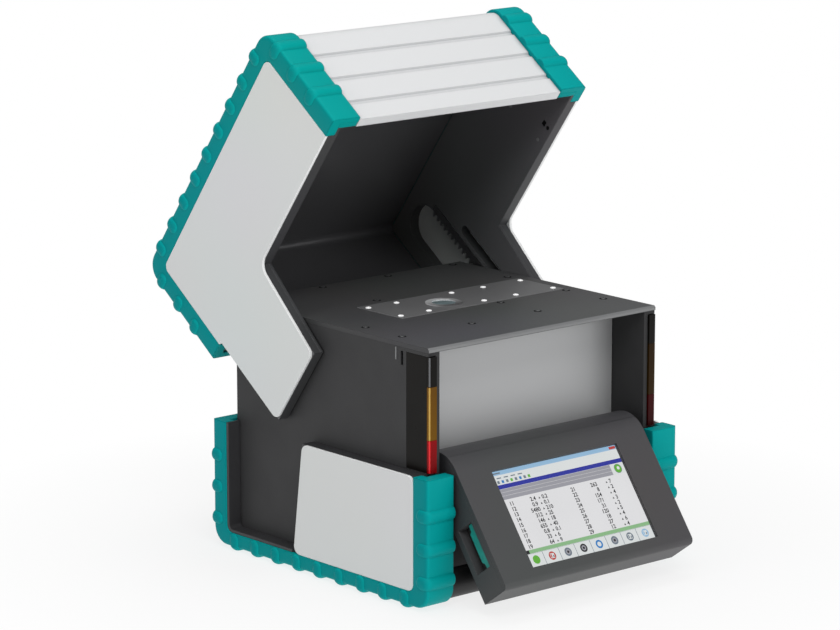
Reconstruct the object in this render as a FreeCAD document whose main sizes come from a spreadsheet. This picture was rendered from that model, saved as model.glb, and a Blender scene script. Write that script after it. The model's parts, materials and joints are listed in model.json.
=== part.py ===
import FreeCAD, Part
import math
import os
import re
import Sketcher

# Portable x-ray fluorescence spectrometer: a box-shaped base with a tilting, ribbed lid that rides on
# two racks, and a computer tablet that folds out of a recess between two warning-lamp columns.
# Millimetres, +Z up, the front towards -Y. Heights are counted from the surface it stands on.
# Lengths along Y are counted from the middle of the base and shifted to the origin at the end.

SIZES = {
    # Origin: how far behind the middle of the base the frame's origin lies
    "origin_back": 13.439,
    # Outer form shared by base and lid
    "half_width": 146.5,
    "half_depth": 145.5,
    "base_height": 116.5,
    "border": 18.3,
    "border_low": 13.0,
    # Ribbed bumpers
    "rib_height": 3.0,
    "rib_pitch": 29.0,
    "rib_flat": 4.4,
    "rib_run": 3.3,
    "rib_first": 23.5,
    "rib_corner": 4.5,
    "rib_reach": 12.0,
    "rib_fade": 5.0,
    "bumper_side": 10.0,
    "face_width": 30.0,
    "post_depth": 12.0,
    "sole_depth": 8.0,
    "corner_round": 16.0,
    "edge_bevel": 2.5,
    # Side panels and the pockets that take the lid's arms
    "panel_thick": 2.8,
    "seam": 0.3,
    "panel_round": 7.0,
    "slant_top_gap": 7.5,
    "slant_low_gap": 7.1,
    "pocket_lip": 3.0,
    "rim_sunk": 1.0,
    # Chassis
    "chassis_gap": 14.5,
    "chassis_inset": 17.4,
    "sheet": 2.0,
    "chassis_rise": 108.5,
    "top_thick": 4.0,
    "top_overhang": 3.0,
    "hem": 1.6,
    "recess_depth": 38.0,
    # Lamp columns at the front corners
    "lens_wide": 8.2,
    "lens_deep": 26.0,
    "lens_proud": 2.0,
    "lens_wrap": 3.5,
    "lens_thick": 2.0,
    "lens_gap": 0.2,
    "column_wall": 4.4,
    "column_proud": 2.0,
    "lamp_foot": 1.1,
    "lamp_head": 7.5,
    "red_tall": 28.4,
    "amber_tall": 46.0,
    "sill_thick": 3.0,
    "lamp_board_in": 6.0,
    "board_thick": 1.6,
    "interlock_in": 4.0,
    "interlock_wide": 3.0,
    "interlock_tall": 12.0,
    # Lid pivot, travel and opening angle
    "pivot_inset": 44.8,
    "pivot_rise": 76.9,
    "lift": 100.0,
    "lid_angle": 53.9,
    # Lid form
    "lid_drop": 98.2,
    "arm_drop": 96.6,
    "arm_top": 99.9,
    "arm_low": 87.5,
    "arm_back": 3.4,
    "arm_crook": 12.0,
    "lid_wall": 13.0,
    "lid_flange": 2.8,
    "liner_offset": 10.0,
    "liner_thick": 2.0,
    "liner_round": 9.7,
    "cover_thick": 3.0,
    "cover_round": 13.0,
    "front_hem": 8.3,
    "groove_wide": 6.0,
    "groove_deep": 1.4,
    # Rack, pinion, shaft and guide pin
    "tooth_pitch": 6.2832,
    "pinion_teeth": 18,
    "tooth_tip": 2.0,
    "tooth_root": 2.4,
    "rack_back": 9.0,
    "rack_low_teeth": 3,
    "rack_short": 2.0,
    "channel_gap": 0.5,
    "channel_over": 3.2,
    "gear_gap": 0.5,
    "shaft_radius": 6.0,
    "run_gap": 0.05,
    "bush_radius": 10.0,
    "bush_long": 8.0,
    "bush_out": 0.8,
    "guide_y": 36.5,
    "guide_z": 46.5,
    "guide_radius": 4.4,
    "guide_gap": 0.4,
    "pin_gap": 1.0,
    "pin_bite": 4.0,
    # Tablet computer and its hinge
    "hinge_inset": 25.0,
    "hinge_drop": 14.0,
    "tablet_angle": 35.9,
    "tablet_gap_left": 3.0,
    "tablet_gap_right": 10.0,
    "tablet_front": 29.4,
    "tablet_back": 4.1,
    "tablet_low": 109.7,
    "tablet_foot": 5.0,
    "bezel_thick": 4.0,
    "tablet_shell": 3.0,
    "tablet_cheek": 8.0,
    "port_cheek": 14.0,
    "bay_deep": 12.0,
    "bay_low": 85.0,
    "bay_high": 44.0,
    "bay_front": 21.0,
    "bay_rear": 2.0,
    "port_thick": 3.2,
    "port_deep": 2.2,
    "network_tall": 12.0,
    "data_tall": 6.0,
    "screen_left": 77.0,
    "screen_right": 69.5,
    "screen_top": 7.0,
    "screen_low": 97.0,
    "glass_thick": 1.6,
    "glass_sunk": 0.8,
    "display_lip": 3.0,
    "display_thick": 5.9,
    "cell_half": 60.0,
    "cell_top": 20.0,
    "cell_low": 90.0,
    "cell_thick": 7.0,
    "hinge_pin": 3.0,
    "pin_in_tablet": 7.0,
    "pin_short": 4.0,
    "cavity_top": 17.6,
    "board_top": 3.0,
    "board_behind": 4.0,
    "network_low": 60.0,
    "data_low": 70.0,
    "port_margin": 4.0,
    "arm_reach": 14.0,
    "arm_gap": 0.8,
    "arm_half": 8.0,
    # Carrying bar
    "bar_radius": 12.5,
    "bar_core": 4.5,
    "bar_inset": 17.0,
    "bar_z": 17.0,
    "bracket_deep": 4.0,
    "bracket_behind": 16.0,
    # Sample stage
    "stage_left": 72.0,
    "stage_right": 120.0,
    "stage_front": 27.0,
    "stage_back": 34.0,
    "stage_raise": 0.4,
    "stage_inset": 6.0,
    "stage_second": 38.3,
    "stage_third": 103.0,
    "stage_fourth": 140.8,
    "stage_row_front": 8.5,
    "stage_row_back": 9.0,
    "plate_screw_in": 14.5,
    "plate_column": 38.5,
    "plate_row_front": 80.0,
    "plate_row_middle": 32.0,
    "plate_row_rear": 121.0,
    "plate_row_gap": 12.0,
    "window_x": -2.0,
    "window_y": -2.0,
    "ring_radius": 16.5,
    "ring_sunk": 2.0,
    "ring_tall": 3.2,
    "window_radius": 10.8,
    "film_thick": 0.4,
    "stage_head": 2.4,
    "plate_head": 2.2,
    "stage_head_tall": 0.8,
    "plate_head_tall": 0.6,
    # Measuring head: distances along the two slanted beam lines, from the window's centre
    "head_low": 66.0,
    "head_left": 62.0,
    "head_right": 50.0,
    "head_front": 28.0,
    "head_rear": 34.0,
    "beam_deep": 30.0,
    "bore_start": 20.0,
    "tube_start": 46.0,
    "tube_nose": 10.0,
    "tube_step": 91.5,
    "tube_end": 135.0,
    "tube_body": 16.0,
    "detector_start": 30.0,
    "detector_nose": 8.0,
    "detector_step": 83.0,
    "detector_end": 105.0,
    "detector_body": 13.0,
    "wheel_shift": 22.0,
    "wheel_radius": 28.0,
    "wheel_start": 39.3,
    "wheel_thick": 2.4,
    "wheel_gap": 0.8,
    "wheel_shaft": 1.5,
    "wheel_shaft_long": 7.0,
    "filter_radius": 5.0,
    "motor_radius": 9.0,
    "motor_gap": 1.2,
    "motor_end": 82.0,
    "motor_bore_deep": 8.0,
    # Fan, air slots, power inlet and rocker switch in the rear wall
    "slot_left": 100.0,
    "slot_right": 50.0,
    "slot_low": 60.0,
    "slot_tall": 3.0,
    "slot_step": 6.0,
    "fan_in": 47.0,
    "fan_z": 88.0,
    "fan_half": 28.0,
    "fan_duct": 26.0,
    "fan_deep": 20.0,
    "fan_hub": 11.0,
    "fan_arm": 2.0,
    "fan_arm_thick": 3.0,
    "fan_shaft": 1.5,
    "fan_play": 1.0,
    "hub_in": 3.0,
    "hub_long": 13.0,
    "blade_thick": 1.5,
    "blade_rise": 4.0,
    "blade_near": 4.0,
    "blade_far": 15.0,
    "inlet_half": 14.0,
    "inlet_low": 30.0,
    "inlet_high": 50.0,
    "inlet_deep": 18.0,
    "socket_deep": 12.0,
    "inlet_wall": 3.0,
    "switch_x": 31.0,
    "switch_z": 40.0,
    "switch_in": 8.1,
    "switch_half": 9.0,
    "switch_tall": 12.0,
    "switch_deep": 20.0,
    "switch_wall": 2.0,
    "switch_angle": 8.0,
    "rocker_pin": 1.2,
    "rocker_back": 4.0,
    "rocker_front": 9.0,
    "rocker_dip": 1.6,
    "rocker_half": 8.5,
    "rocker_foot": 7.0,
    "rocker_wide": 6.6,
    # Supply, battery pack and main board on the chassis floor and wall
    "supply_in": 5.0,
    "supply_wide": 80.0,
    "supply_front": 40.0,
    "supply_rear": 80.0,
    "supply_tall": 70.0,
    "battery_in": 5.0,
    "battery_wide": 75.0,
    "battery_front": 80.0,
    "battery_rear": 40.0,
    "battery_tall": 48.0,
    "board_front_in": 48.0,
    "board_rear_in": 68.0,
    "board_low": 72.0,
    "board_high": 200.0,
    "board_stand": 6.4,
    "spacer_half": 3.0,
}

# Sizes that follow from others
DERIVED = {
    "chassis_half": "half_width - chassis_gap",
    "chassis_deep": "half_depth - chassis_inset",
    "chassis_top": "base_height + chassis_rise",
    "lid_inner": "half_width - lid_wall",
    "lens_rear": "lens_deep - chassis_deep",
    "column_front": "-chassis_deep - column_proud",
    "lens_front": "column_front - lens_proud",
    "lamp_low": "base_height + lamp_foot",
    "lamp_high": "chassis_top - lamp_head",
    "amber_low": "lamp_low + red_tall",
    "amber_high": "amber_low + amber_tall",
    "slant_top": "half_depth - border - arm_top - slant_top_gap",
    "slant_low": "half_depth - border - arm_low - slant_low_gap",
    "pivot_y": "half_depth - pivot_inset",
    "pivot_z": "base_height + pivot_rise",
    "hinge_y": "hinge_inset - half_depth",
    "hinge_z": "base_height - hinge_drop",
    "tablet_left": "half_width - face_width - tablet_gap_left",
    "tablet_right": "half_width - face_width - tablet_gap_right",
    "bar_y": "bar_inset - half_depth",
    "switch_y": "chassis_deep - switch_in",
    # In the lid's own frame: origin on the pivot, level, Y to the rear
    "lid_rear": "half_depth - border - pivot_y",
    "lid_front": "border - half_depth - pivot_y",
    "lid_low": "base_height + lift - pivot_z",
    "lid_top": "lid_low + lid_drop",
    "arm_end": "lid_low - arm_drop",
    # In the base
    "panel_front": "border - half_depth",
    "panel_rear": "half_depth - border",
    "panel_low": "rib_height + border_low",
    "floor_low": "rib_height + sole_depth + seam",
    "under_top": "chassis_top - top_thick",
    "recess_back": "recess_depth - chassis_deep",
    "pitch_radius": "tooth_pitch * pinion_teeth / 2 / pi",
    "tooth_foot": "tooth_pitch * 0.37",
    "tooth_crest": "tooth_pitch * 0.115",
    "behind_lens": "lens_front + 2 * lens_thick",
    "fan_x": "chassis_half - fan_in",
    "board_front": "chassis_deep - board_front_in",
    "board_rear": "chassis_deep - board_rear_in",
}

# How often a feature repeats
WEB_RIBS = 9
LEG_RIBS = 3
RACK_TEETH = 18
FILTERS = 5
BLADES = 5
AIR_SLOTS = 9

AXIS = {
    "X": FreeCAD.Vector(1, 0, 0),
    "Y": FreeCAD.Vector(0, 1, 0),
    "Z": FreeCAD.Vector(0, 0, 1),
}
WORD = re.compile(r"[A-Za-z_]\w*")

doc = FreeCAD.newDocument("spectrometer")
sheet = doc.addObject("Spreadsheet::Sheet", "Sizes")
work = doc.addObject("Spreadsheet::Sheet", "Work")
KNOWN = {**SIZES, **DERIVED}
for row, (alias, figure) in enumerate(KNOWN.items(), 1):
    sheet.set("A%d" % row, alias)
    sheet.set("B%d" % row, "=" + figure if alias in DERIVED else str(figure))
    sheet.setAlias("B%d" % row, alias)
doc.recompute()
nodes = []


def linked(text):
    """The expression with each size's name pointed at the sheet."""
    return WORD.sub(lambda m: "Sizes." + m.group() if m.group() in KNOWN else m.group(), str(text))


def bind(item, prop, text):
    """Ties a property to an expression over the sizes."""
    item.setExpression(prop, linked(text))


def number(text):
    """The present value of an expression over the sizes."""
    work.set("A1", "=" + linked(text))
    work.recompute()
    return float(work.get("A1"))


def new_body(name):
    """An empty body that becomes one sub-part."""
    body = doc.addObject("PartDesign::Body", name)
    body.Label = name
    return body


def origin_part(body, role):
    """One of the body's own origin planes or axes."""
    return [f for f in body.Origin.OriginFeatures if f.Role == role][0]


def new_sketch(body, name, plane, offset="0"):
    """A sketch on a plane of the body, moved along the plane's normal."""
    item = body.newObject("Sketcher::SketchObject", name)
    item.AttachmentSupport = [(origin_part(body, plane + "_Plane"), "")]
    item.MapMode = "FlatFace"
    bind(item, "AttachmentOffset.Base.z", offset)
    return item


def tie_point(item, geometry, place, across, up):
    """Fixes a sketch point at two expressions, measured from the sketch's origin."""
    for kind, text in (("DistanceX", across), ("DistanceY", up)):
        index = item.addConstraint(Sketcher.Constraint(kind, -1, 1, geometry, place, number(text)))
        bind(item, "Constraints[%d]" % index, text)


def arc_between(start, end, radius, turn):
    """The short arc from start to end; turn 1 runs counter-clockwise, -1 clockwise."""
    chord = end - start
    half = chord.Length / 2
    normal = FreeCAD.Vector(-chord.y, chord.x, 0).normalize() * turn
    centre = (start + end) * 0.5 + normal * math.sqrt(max(radius * radius - half * half, 0))
    first, last = (start, end) if turn > 0 else (end, start)
    angles = [math.atan2(p.y - centre.y, p.x - centre.x) for p in (first, last)]
    if angles[1] <= angles[0]:
        angles[1] += 2 * math.pi
    circle = Part.Circle(centre, FreeCAD.Vector(0, 0, 1), radius)
    return Part.ArcOfCircle(circle, angles[0], angles[1])


def draw_outline(item, corners):
    """Draws a closed outline. A corner is (across, up), or (across, up, radius, turn) before an arc."""
    base = item.GeometryCount
    total = len(corners)
    points = [FreeCAD.Vector(number(c[0]), number(c[1]), 0) for c in corners]
    ends = []
    for index, corner in enumerate(corners):
        start = points[index]
        end = points[(index + 1) % total]
        if len(corner) == 2:
            item.addGeometry(Part.LineSegment(start, end), False)
            ends.append((1, 2))
        else:
            item.addGeometry(arc_between(start, end, number(corner[2]), corner[3]), False)
            ends.append((1, 2) if corner[3] > 0 else (2, 1))
    for index in range(total):
        following = (index + 1) % total
        item.addConstraint(Sketcher.Constraint(
            "Coincident", base + index, ends[index][1], base + following, ends[following][0]))
    for index, corner in enumerate(corners):
        tie_point(item, base + index, ends[index][0], corner[0], corner[1])
        if len(corner) > 2:
            place = item.addConstraint(Sketcher.Constraint("Radius", base + index, number(corner[2])))
            bind(item, "Constraints[%d]" % place, corner[2])


def draw_circle(item, across, up, radius):
    """Draws a circle bound to its centre and radius."""
    centre = FreeCAD.Vector(number(across), number(up), 0)
    circle = Part.Circle(centre, FreeCAD.Vector(0, 0, 1), number(radius))
    index = item.addGeometry(circle, False)
    place = item.addConstraint(Sketcher.Constraint("Radius", index, number(radius)))
    bind(item, "Constraints[%d]" % place, radius)
    tie_point(item, index, 3, across, up)


def extrude(body, name, sketch, length, cut):
    """Pads a sketch, or cuts with it, along the normal of its plane."""
    feature = body.newObject("PartDesign::Pocket" if cut else "PartDesign::Pad", name)
    feature.Profile = sketch
    feature.Reversed = cut
    bind(feature, "Length", length)
    sketch.Visibility = False
    return feature


def prism(body, name, plane, corners, start, length, cut=False):
    """A pad or pocket of one closed outline."""
    sketch = new_sketch(body, name + "_sketch", plane, start)
    draw_outline(sketch, corners)
    return extrude(body, name, sketch, length, cut)


def prisms(body, name, plane, outlines, start, length):
    """A pad of several closed outlines."""
    sketch = new_sketch(body, name + "_sketch", plane, start)
    for corners in outlines:
        draw_outline(sketch, corners)
    return extrude(body, name, sketch, length, False)


def drum(body, name, plane, circles, start, length, cut=False):
    """A pad or pocket of one or more circles, each (across, up, radius)."""
    sketch = new_sketch(body, name + "_sketch", plane, start)
    for circle in circles:
        draw_circle(sketch, *circle)
    return extrude(body, name, sketch, length, cut)


def rectangle(left, right, low, high):
    """The corners of a rectangle."""
    return [(left, low), (right, low), (right, high), (left, high)]


def obround(body, name, across, low, high, radius, start, length):
    """Cuts an upright slot with round ends, whose end centres stand at low and high."""
    sides = rectangle("%s - (%s)" % (across, radius), "%s + %s" % (across, radius), low, high)
    prism(body, name, "YZ", sides, start, length, cut=True)
    drum(body, name + "_ends", "YZ", [(across, low, radius), (across, high, radius)], start, length, cut=True)


def pattern(body, name, originals, axis, length, count, backwards=False):
    """Repeats features in a row that ends at the given length."""
    feature = body.newObject("PartDesign::LinearPattern", name)
    feature.Originals = originals
    feature.Direction = (origin_part(body, axis + "_Axis"), [""])
    feature.Reversed = backwards
    bind(feature, "Length", length)
    feature.Occurrences = count
    body.Tip = feature
    return feature


def edges_along(shape, axis, keep):
    """Names of the straight edges along an axis whose middle point is wanted."""
    names = []
    for index, edge in enumerate(shape.Edges, 1):
        if edge.Curve.TypeId != "Part::GeomLine":
            continue
        if abs(edge.tangentAt(edge.FirstParameter).dot(AXIS[axis])) < 0.999:
            continue
        if keep(edge.CenterOfMass):
            names.append("Edge%d" % index)
    return names


def dress(body, name, kind, base, names, size):
    """A fillet or chamfer on named edges of a feature."""
    feature = body.newObject("PartDesign::" + kind, name)
    feature.Base = (base, names)
    bind(feature, "Radius" if kind == "Fillet" else "Size", size)
    doc.recompute()
    return feature


def round_corners(body, name, base, axis, size, spots):
    """Rounds the edges along an axis that stand at the given spots of the other two axes."""
    doc.recompute()
    other = [letter.lower() for letter in "XYZ" if letter != axis]
    places = [[number(text) for text in spot] for spot in spots]

    def keep(middle):
        found = [getattr(middle, letter) for letter in other]
        return any(math.dist(found, place) < 0.01 for place in places)

    return dress(body, name, "Fillet", base, edges_along(base.Shape, axis, keep), size)


def stand_in_base(item):
    """Keeps a sub-part with the base, with its lengths along Y counted from the origin."""
    bind(item, "Placement.Base.y", "-origin_back")
    nodes.append(item)
    return item


def hang_on(item, across_y, height, angle):
    """Carries a sub-part on a cross axis and turns it backwards about that axis."""
    item.Placement = FreeCAD.Placement(FreeCAD.Vector(), FreeCAD.Rotation(AXIS["X"], -1))
    bind(item, "Placement.Rotation.Angle", "-" + angle)
    bind(item, "Placement.Base.y", across_y + " - origin_back")
    bind(item, "Placement.Base.z", height)
    nodes.append(item)
    return item


def stand_in_lid(item):
    """Keeps a sub-part with the lid, in its open position."""
    return hang_on(item, "pivot_y", "pivot_z", "lid_angle")


def stand_in_tablet(item):
    """Keeps a sub-part with the tablet, in its reading position."""
    return hang_on(item, "hinge_y", "hinge_z", "tablet_angle")


def twin(item, name):
    """The same sub-part for the right-hand side, mirrored across the middle."""
    mirror = doc.addObject("Part::Mirroring", name)
    mirror.Label = name
    mirror.Source = item
    mirror.Normal = (1, 0, 0)
    nodes.append(mirror)
    return mirror


def pair(item, name):
    """A left-hand piece and its mirrored partner in one node, as separate solids."""
    mirror = doc.addObject("Part::Mirroring", item.Name + "_mirrored")
    mirror.Source = item
    mirror.Normal = (1, 0, 0)
    return group([item, mirror], name)


def group(items, name):
    """Like pieces gathered in one node as separate solids."""
    both = doc.addObject("Part::Compound", name)
    both.Label = name
    both.Links = items
    nodes[:] = [node for node in nodes if node not in items]
    nodes.append(both)
    return both


# Ribbed bumpers

def channel_outline(front, rear, face, end, leg, inner):
    """A channel seen from the side: two legs joined by a long web."""
    return [
        (front, end), (front, face), (rear, face), (rear, end),
        (rear + " - " + leg, end), (rear + " - " + leg, inner),
        (front + " + " + leg, inner), (front + " + " + leg, end),
    ]


def rib_profile(middle, foot, outward):
    """The side view of one rib: sloped ends and a flat crest. It stands on foot, towards outward."""
    crest = "%s + %d * rib_height" % (foot, outward)
    root = "%s - %d * edge_bevel" % (foot, outward)
    near = "%s - rib_flat / 2" % middle
    far = "%s + rib_flat / 2" % middle
    return [
        (near + " - rib_run", foot), (near, crest), (far, crest),
        (far + " + rib_run", foot), (far + " + rib_run", root), (near + " - rib_run", root),
    ]


def swapped(corners):
    """The same outline with its two directions exchanged."""
    return [(corner[1], corner[0]) for corner in corners]


def trim_ribs(body, name, plane, side, face, outward, start, length):
    """Bevels the ribs where they turn from the outer face to the side, and lets their side ends run out."""

    def up(text):
        return "%s + %d * (%s)" % (face, outward, text)

    beyond = side + " - 2 * rib_height"
    crest = side + " - rib_height"
    turn = side + " - rib_height + rib_corner"
    corners = [
        (turn, up("rib_height")), (crest, up("rib_height - rib_corner")),
        (crest, up("rib_fade - rib_reach")), (side, up("-rib_reach")),
        (beyond, up("-rib_reach")), (beyond, up("2 * rib_height")), (turn, up("2 * rib_height")),
    ]
    return prism(body, name, plane, corners, start, length, cut=True)


def bumper(name, front, rear, face, end, outward, web_border, leg_depth, web_depth):
    """One left-hand bumper: a channel with ribs that wrap from the side to the outer faces.

    front, rear and face are the outer faces between the ribs, end is where the legs stop,
    and outward is -1 where the web lies below and 1 where it lies on top."""
    body = new_body(name)
    side = "-half_width"
    inner = "%s - %d * %s" % (face, outward, web_border)
    prism(body, "side_band", "YZ", channel_outline(front, rear, face, end, "border", inner),
          side, "bumper_side")
    inner_web = "%s - %d * %s" % (face, outward, web_depth)
    ring = prism(body, "outer_band", "YZ", channel_outline(front, rear, face, end, leg_depth, inner_web),
                 side, "face_width")
    ring = round_corners(body, "outer_corners", ring, "X", "corner_round", [(front, face), (rear, face)])
    ring = round_corners(body, "inner_corners", ring, "X", "panel_round",
                         [(front + " + border", inner), (rear + " - border", inner)])
    limits = [number(front), number(rear), number(face)]
    left = number(side)

    def on_rim(middle):
        on_side = abs(middle.x - left) < 0.01
        on_leg = min(abs(middle.y - limits[0]), abs(middle.y - limits[1])) < 0.01
        return on_side and (on_leg or abs(middle.z - limits[2]) < 0.01)

    names = edges_along(ring.Shape, "Y", on_rim) + edges_along(ring.Shape, "Z", on_rim)
    dress(body, "rim_bevel", "Chamfer", ring, names, "edge_bevel")

    # Ribs of the long web
    first = "(%s + %s) / 2 - (%d - 1) / 2 * rib_pitch" % (front, rear, WEB_RIBS)
    side_low = "%s - %s" % (face, "rib_reach" if outward > 0 else "rib_height")
    across = prism(body, "web_rib", "YZ", rib_profile(first, face, outward),
                   side + " - rib_height", "face_width + rib_height")
    flank = prism(body, "web_side_rib", "XY", swapped(rib_profile(first, side, -1)),
                  side_low, "rib_reach + rib_height")
    pattern(body, "web_ribs", [across, flank], "Y", "(%d - 1) * rib_pitch" % WEB_RIBS, WEB_RIBS)
    # Ribs of the two legs
    leg_first = "%s - %d * rib_first" % (face, outward)
    for label, out, sense in (("front", front, -1), ("rear", rear, 1)):
        across = prism(body, label + "_rib", "YZ", swapped(rib_profile(leg_first, out, sense)),
                       side + " - rib_height", "face_width + rib_height")
        start = "-(%s) - %s" % (out, "rib_height" if sense > 0 else "rib_reach")
        flank = prism(body, label + "_side_rib", "XZ", swapped(rib_profile(leg_first, side, -1)),
                      start, "rib_reach + rib_height")
        pattern(body, label + "_ribs", [across, flank], "Z", "(%d - 1) * rib_pitch" % LEG_RIBS,
                LEG_RIBS, outward > 0)
    # Where the ribs turn to the side
    trim_ribs(body, "web_turn", "XZ", side, face, outward, "-(%s)" % rear, "%s - (%s)" % (rear, front))
    height = "(%s - (%s)) * %d" % (face, end, outward)
    lowest = end if outward > 0 else face
    for label, out, sense in (("front", front, -1), ("rear", rear, 1)):
        trim_ribs(body, label + "_turn", "XY", side, out, sense, lowest, height)
    return body


def base_bumpers():
    """Left and right bumpers of the base, open at the top."""
    left = bumper("base_bumper_left", "(-half_depth)", "half_depth", "rib_height", "base_height", -1,
                  "border_low", "post_depth", "sole_depth")
    stand_in_base(left)
    twin(left, "base_bumper_right")


def lid_bumpers():
    """Left and right bumpers of the lid, open at the bottom."""
    skin = "(border - liner_offset - liner_thick - seam)"
    left = bumper("lid_bumper_left", "(lid_front - border)", "(lid_rear + border)",
                  "(lid_top + border)", "lid_low", 1, "border", skin, skin)
    stand_in_lid(left)
    twin(left, "lid_bumper_right")


# Base: panels, mouldings and chassis

def base_panels():
    """Light side panels with a slanted rear edge that matches the lid's arm."""
    body = new_body("base_panel_left")
    corners = [
        ("panel_front + seam", "panel_low + seam"), ("slant_low", "panel_low + seam"),
        ("slant_top", "base_height"), ("panel_front + seam", "base_height"),
    ]
    panel = prism(body, "panel", "YZ", corners, "-half_width", "panel_thick")
    round_corners(body, "corners", panel, "X", "panel_round", corners)
    stand_in_base(body)
    twin(body, "base_panel_right")


def side_mouldings():
    """Dark mouldings behind the panels; each forms the pocket for one arm of the lid."""
    body = new_body("side_moulding_left")
    top = "base_height - seam"
    block_front = "panel_front + seam"
    block_low = "panel_low + seam"
    corners = [
        (block_front, block_low), ("slant_low + pocket_lip", block_low),
        ("slant_top + pocket_lip", top), (block_front, top),
    ]
    block = prism(body, "block", "YZ", corners, "-half_width + panel_thick + seam / 2",
                  "bumper_side - panel_thick + seam")
    round_corners(body, "block_corner", block, "X", "panel_round", [(block_front, block_low)])
    pocket_rear = "panel_rear - pocket_lip"
    pocket_low = "panel_low + pocket_lip"
    corners = [
        ("panel_front", "floor_low"), ("panel_rear", "floor_low"), ("panel_rear", top),
        (pocket_rear, top), (pocket_rear, pocket_low), ("slant_low + pocket_lip", pocket_low),
        ("slant_top + pocket_lip", top), ("panel_front", top),
    ]
    prism(body, "backing", "YZ", corners, "-half_width + bumper_side + seam / 2",
          "half_width - bumper_side - chassis_half - seam")
    rim_rear = "panel_rear - seam"
    corners = [
        ("slant_low + pocket_lip - seam", block_low), (rim_rear, block_low), (rim_rear, top),
        (pocket_rear, top), (pocket_rear, pocket_low), ("slant_low + pocket_lip - seam", pocket_low),
    ]
    rim = prism(body, "pocket_rim", "YZ", corners, "-half_width + rim_sunk", "bumper_side - rim_sunk + seam")
    rim = round_corners(body, "rim_corner", rim, "X", "panel_round", [(rim_rear, block_low)])
    round_corners(body, "pocket_corner", rim, "X", "panel_round - pocket_lip", [(pocket_rear, pocket_low)])
    stand_in_base(body)
    twin(body, "side_moulding_right")


def chassis_sides():
    """Sheet-metal side walls, cut out for the lamp column, the shaft bush and the guide pin."""
    body = new_body("chassis_side_left")
    corners = [
        ("-chassis_deep", "floor_low"), ("chassis_deep - sheet", "floor_low"),
        ("chassis_deep - sheet", "under_top"), ("column_front", "under_top"),
        ("column_front", "lamp_high + seam"), ("lens_rear", "lamp_high + seam"),
        ("lens_rear", "lamp_low - seam"), ("-chassis_deep", "lamp_low - seam"),
    ]
    prism(body, "wall", "YZ", corners, "-chassis_half", "sheet")
    holes = [
        ("pivot_y", "pivot_z", "bush_radius"),
        ("pivot_y - guide_y", "pivot_z - guide_z", "guide_radius + run_gap"),
    ]
    drum(body, "holes", "YZ", holes, "-chassis_half", "sheet", cut=True)
    near = "lens_rear + interlock_in"
    prism(body, "interlock_slot", "YZ",
          rectangle(near, near + " + interlock_wide", "lamp_high - interlock_tall", "lamp_high"),
          "-chassis_half", "sheet", cut=True)
    stand_in_base(body)
    twin(body, "chassis_side_right")


def chassis_floor():
    """Floor plate with its upturned front edge."""
    body = new_body("chassis_floor")
    left = "-chassis_half + sheet"
    right = "chassis_half - sheet"
    prism(body, "floor", "XY", rectangle(left, right, "recess_back", "chassis_deep - sheet"),
          "floor_low", "sheet")
    prism(body, "bulkhead", "XZ", rectangle(left, right, "floor_low", "lamp_low - sill_thick"),
          "-recess_back - sheet", "sheet")
    stand_in_base(body)


def inlet_outline(inset):
    """The power inlet's opening in the rear wall, drawn in by inset."""
    return rectangle("%s - inlet_half" % inset, "inlet_half - %s" % inset,
                     "inlet_low + %s" % inset, "inlet_high - %s" % inset)


def switch_outline(inset):
    """The switch's opening in the rear wall, drawn in by inset."""
    return rectangle("switch_x - switch_half + %s" % inset, "switch_x + switch_half - %s" % inset,
                     "switch_z - switch_tall + %s" % inset, "switch_z + switch_tall - %s" % inset)


def rear_cover():
    """Rear wall with air slots, a fan opening, a power inlet opening and a switch opening."""
    body = new_body("rear_cover")
    start = "-chassis_deep"
    prism(body, "wall", "XZ", rectangle("-chassis_half", "chassis_half", "floor_low", "under_top"),
          start, "sheet")
    outline = rectangle("-slot_left", "-slot_right", "slot_low", "slot_low + slot_tall")
    slot = prism(body, "air_slot", "XZ", outline, start, "sheet", cut=True)
    pattern(body, "air_slots", [slot], "Z", "(%d - 1) * slot_step" % AIR_SLOTS, AIR_SLOTS)
    drum(body, "fan_opening", "XZ", [("fan_x", "fan_z", "fan_duct")], start, "sheet", cut=True)
    prism(body, "inlet_opening", "XZ", inlet_outline("0"), start, "sheet", cut=True)
    prism(body, "switch_opening", "XZ", switch_outline("0"), start, "sheet", cut=True)
    stand_in_base(body)


def top_plate():
    """Top plate with a bevelled front edge and an opening for the stage insert."""
    body = new_body("top_plate")
    front = "-chassis_deep - top_overhang"
    plate = prism(body, "plate", "XY", rectangle("-chassis_half", "chassis_half", front, "chassis_deep"),
                  "under_top", "top_thick")
    doc.recompute()
    limit = number(front)
    top = number("chassis_top")
    names = edges_along(plate.Shape, "X", lambda p: abs(p.y - limit) < 0.01 and abs(p.z - top) < 0.01)
    dress(body, "bevel", "Chamfer", plate, names, "hem")
    prism(body, "stage_opening", "XY", rectangle("-stage_left", "stage_right", "-stage_front", "stage_back"),
          "under_top", "top_thick", cut=True)
    stand_in_base(body)


def stage_insert():
    """Removable plate around the measuring window, held by ten screws."""
    body = new_body("stage_insert")
    outline = rectangle("seam - stage_left", "stage_right - seam", "seam - stage_front", "stage_back - seam")
    prism(body, "plate", "XY", outline, "under_top", "top_thick + stage_raise")
    drum(body, "seat", "XY", [("window_x", "window_y", "ring_radius + run_gap")],
         "chassis_top - ring_sunk - film_thick", "ring_sunk + film_thick + stage_raise", cut=True)
    drum(body, "aperture", "XY", [("window_x", "window_y", "window_radius")], "under_top", "top_thick", cut=True)
    stand_in_base(body)


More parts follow.
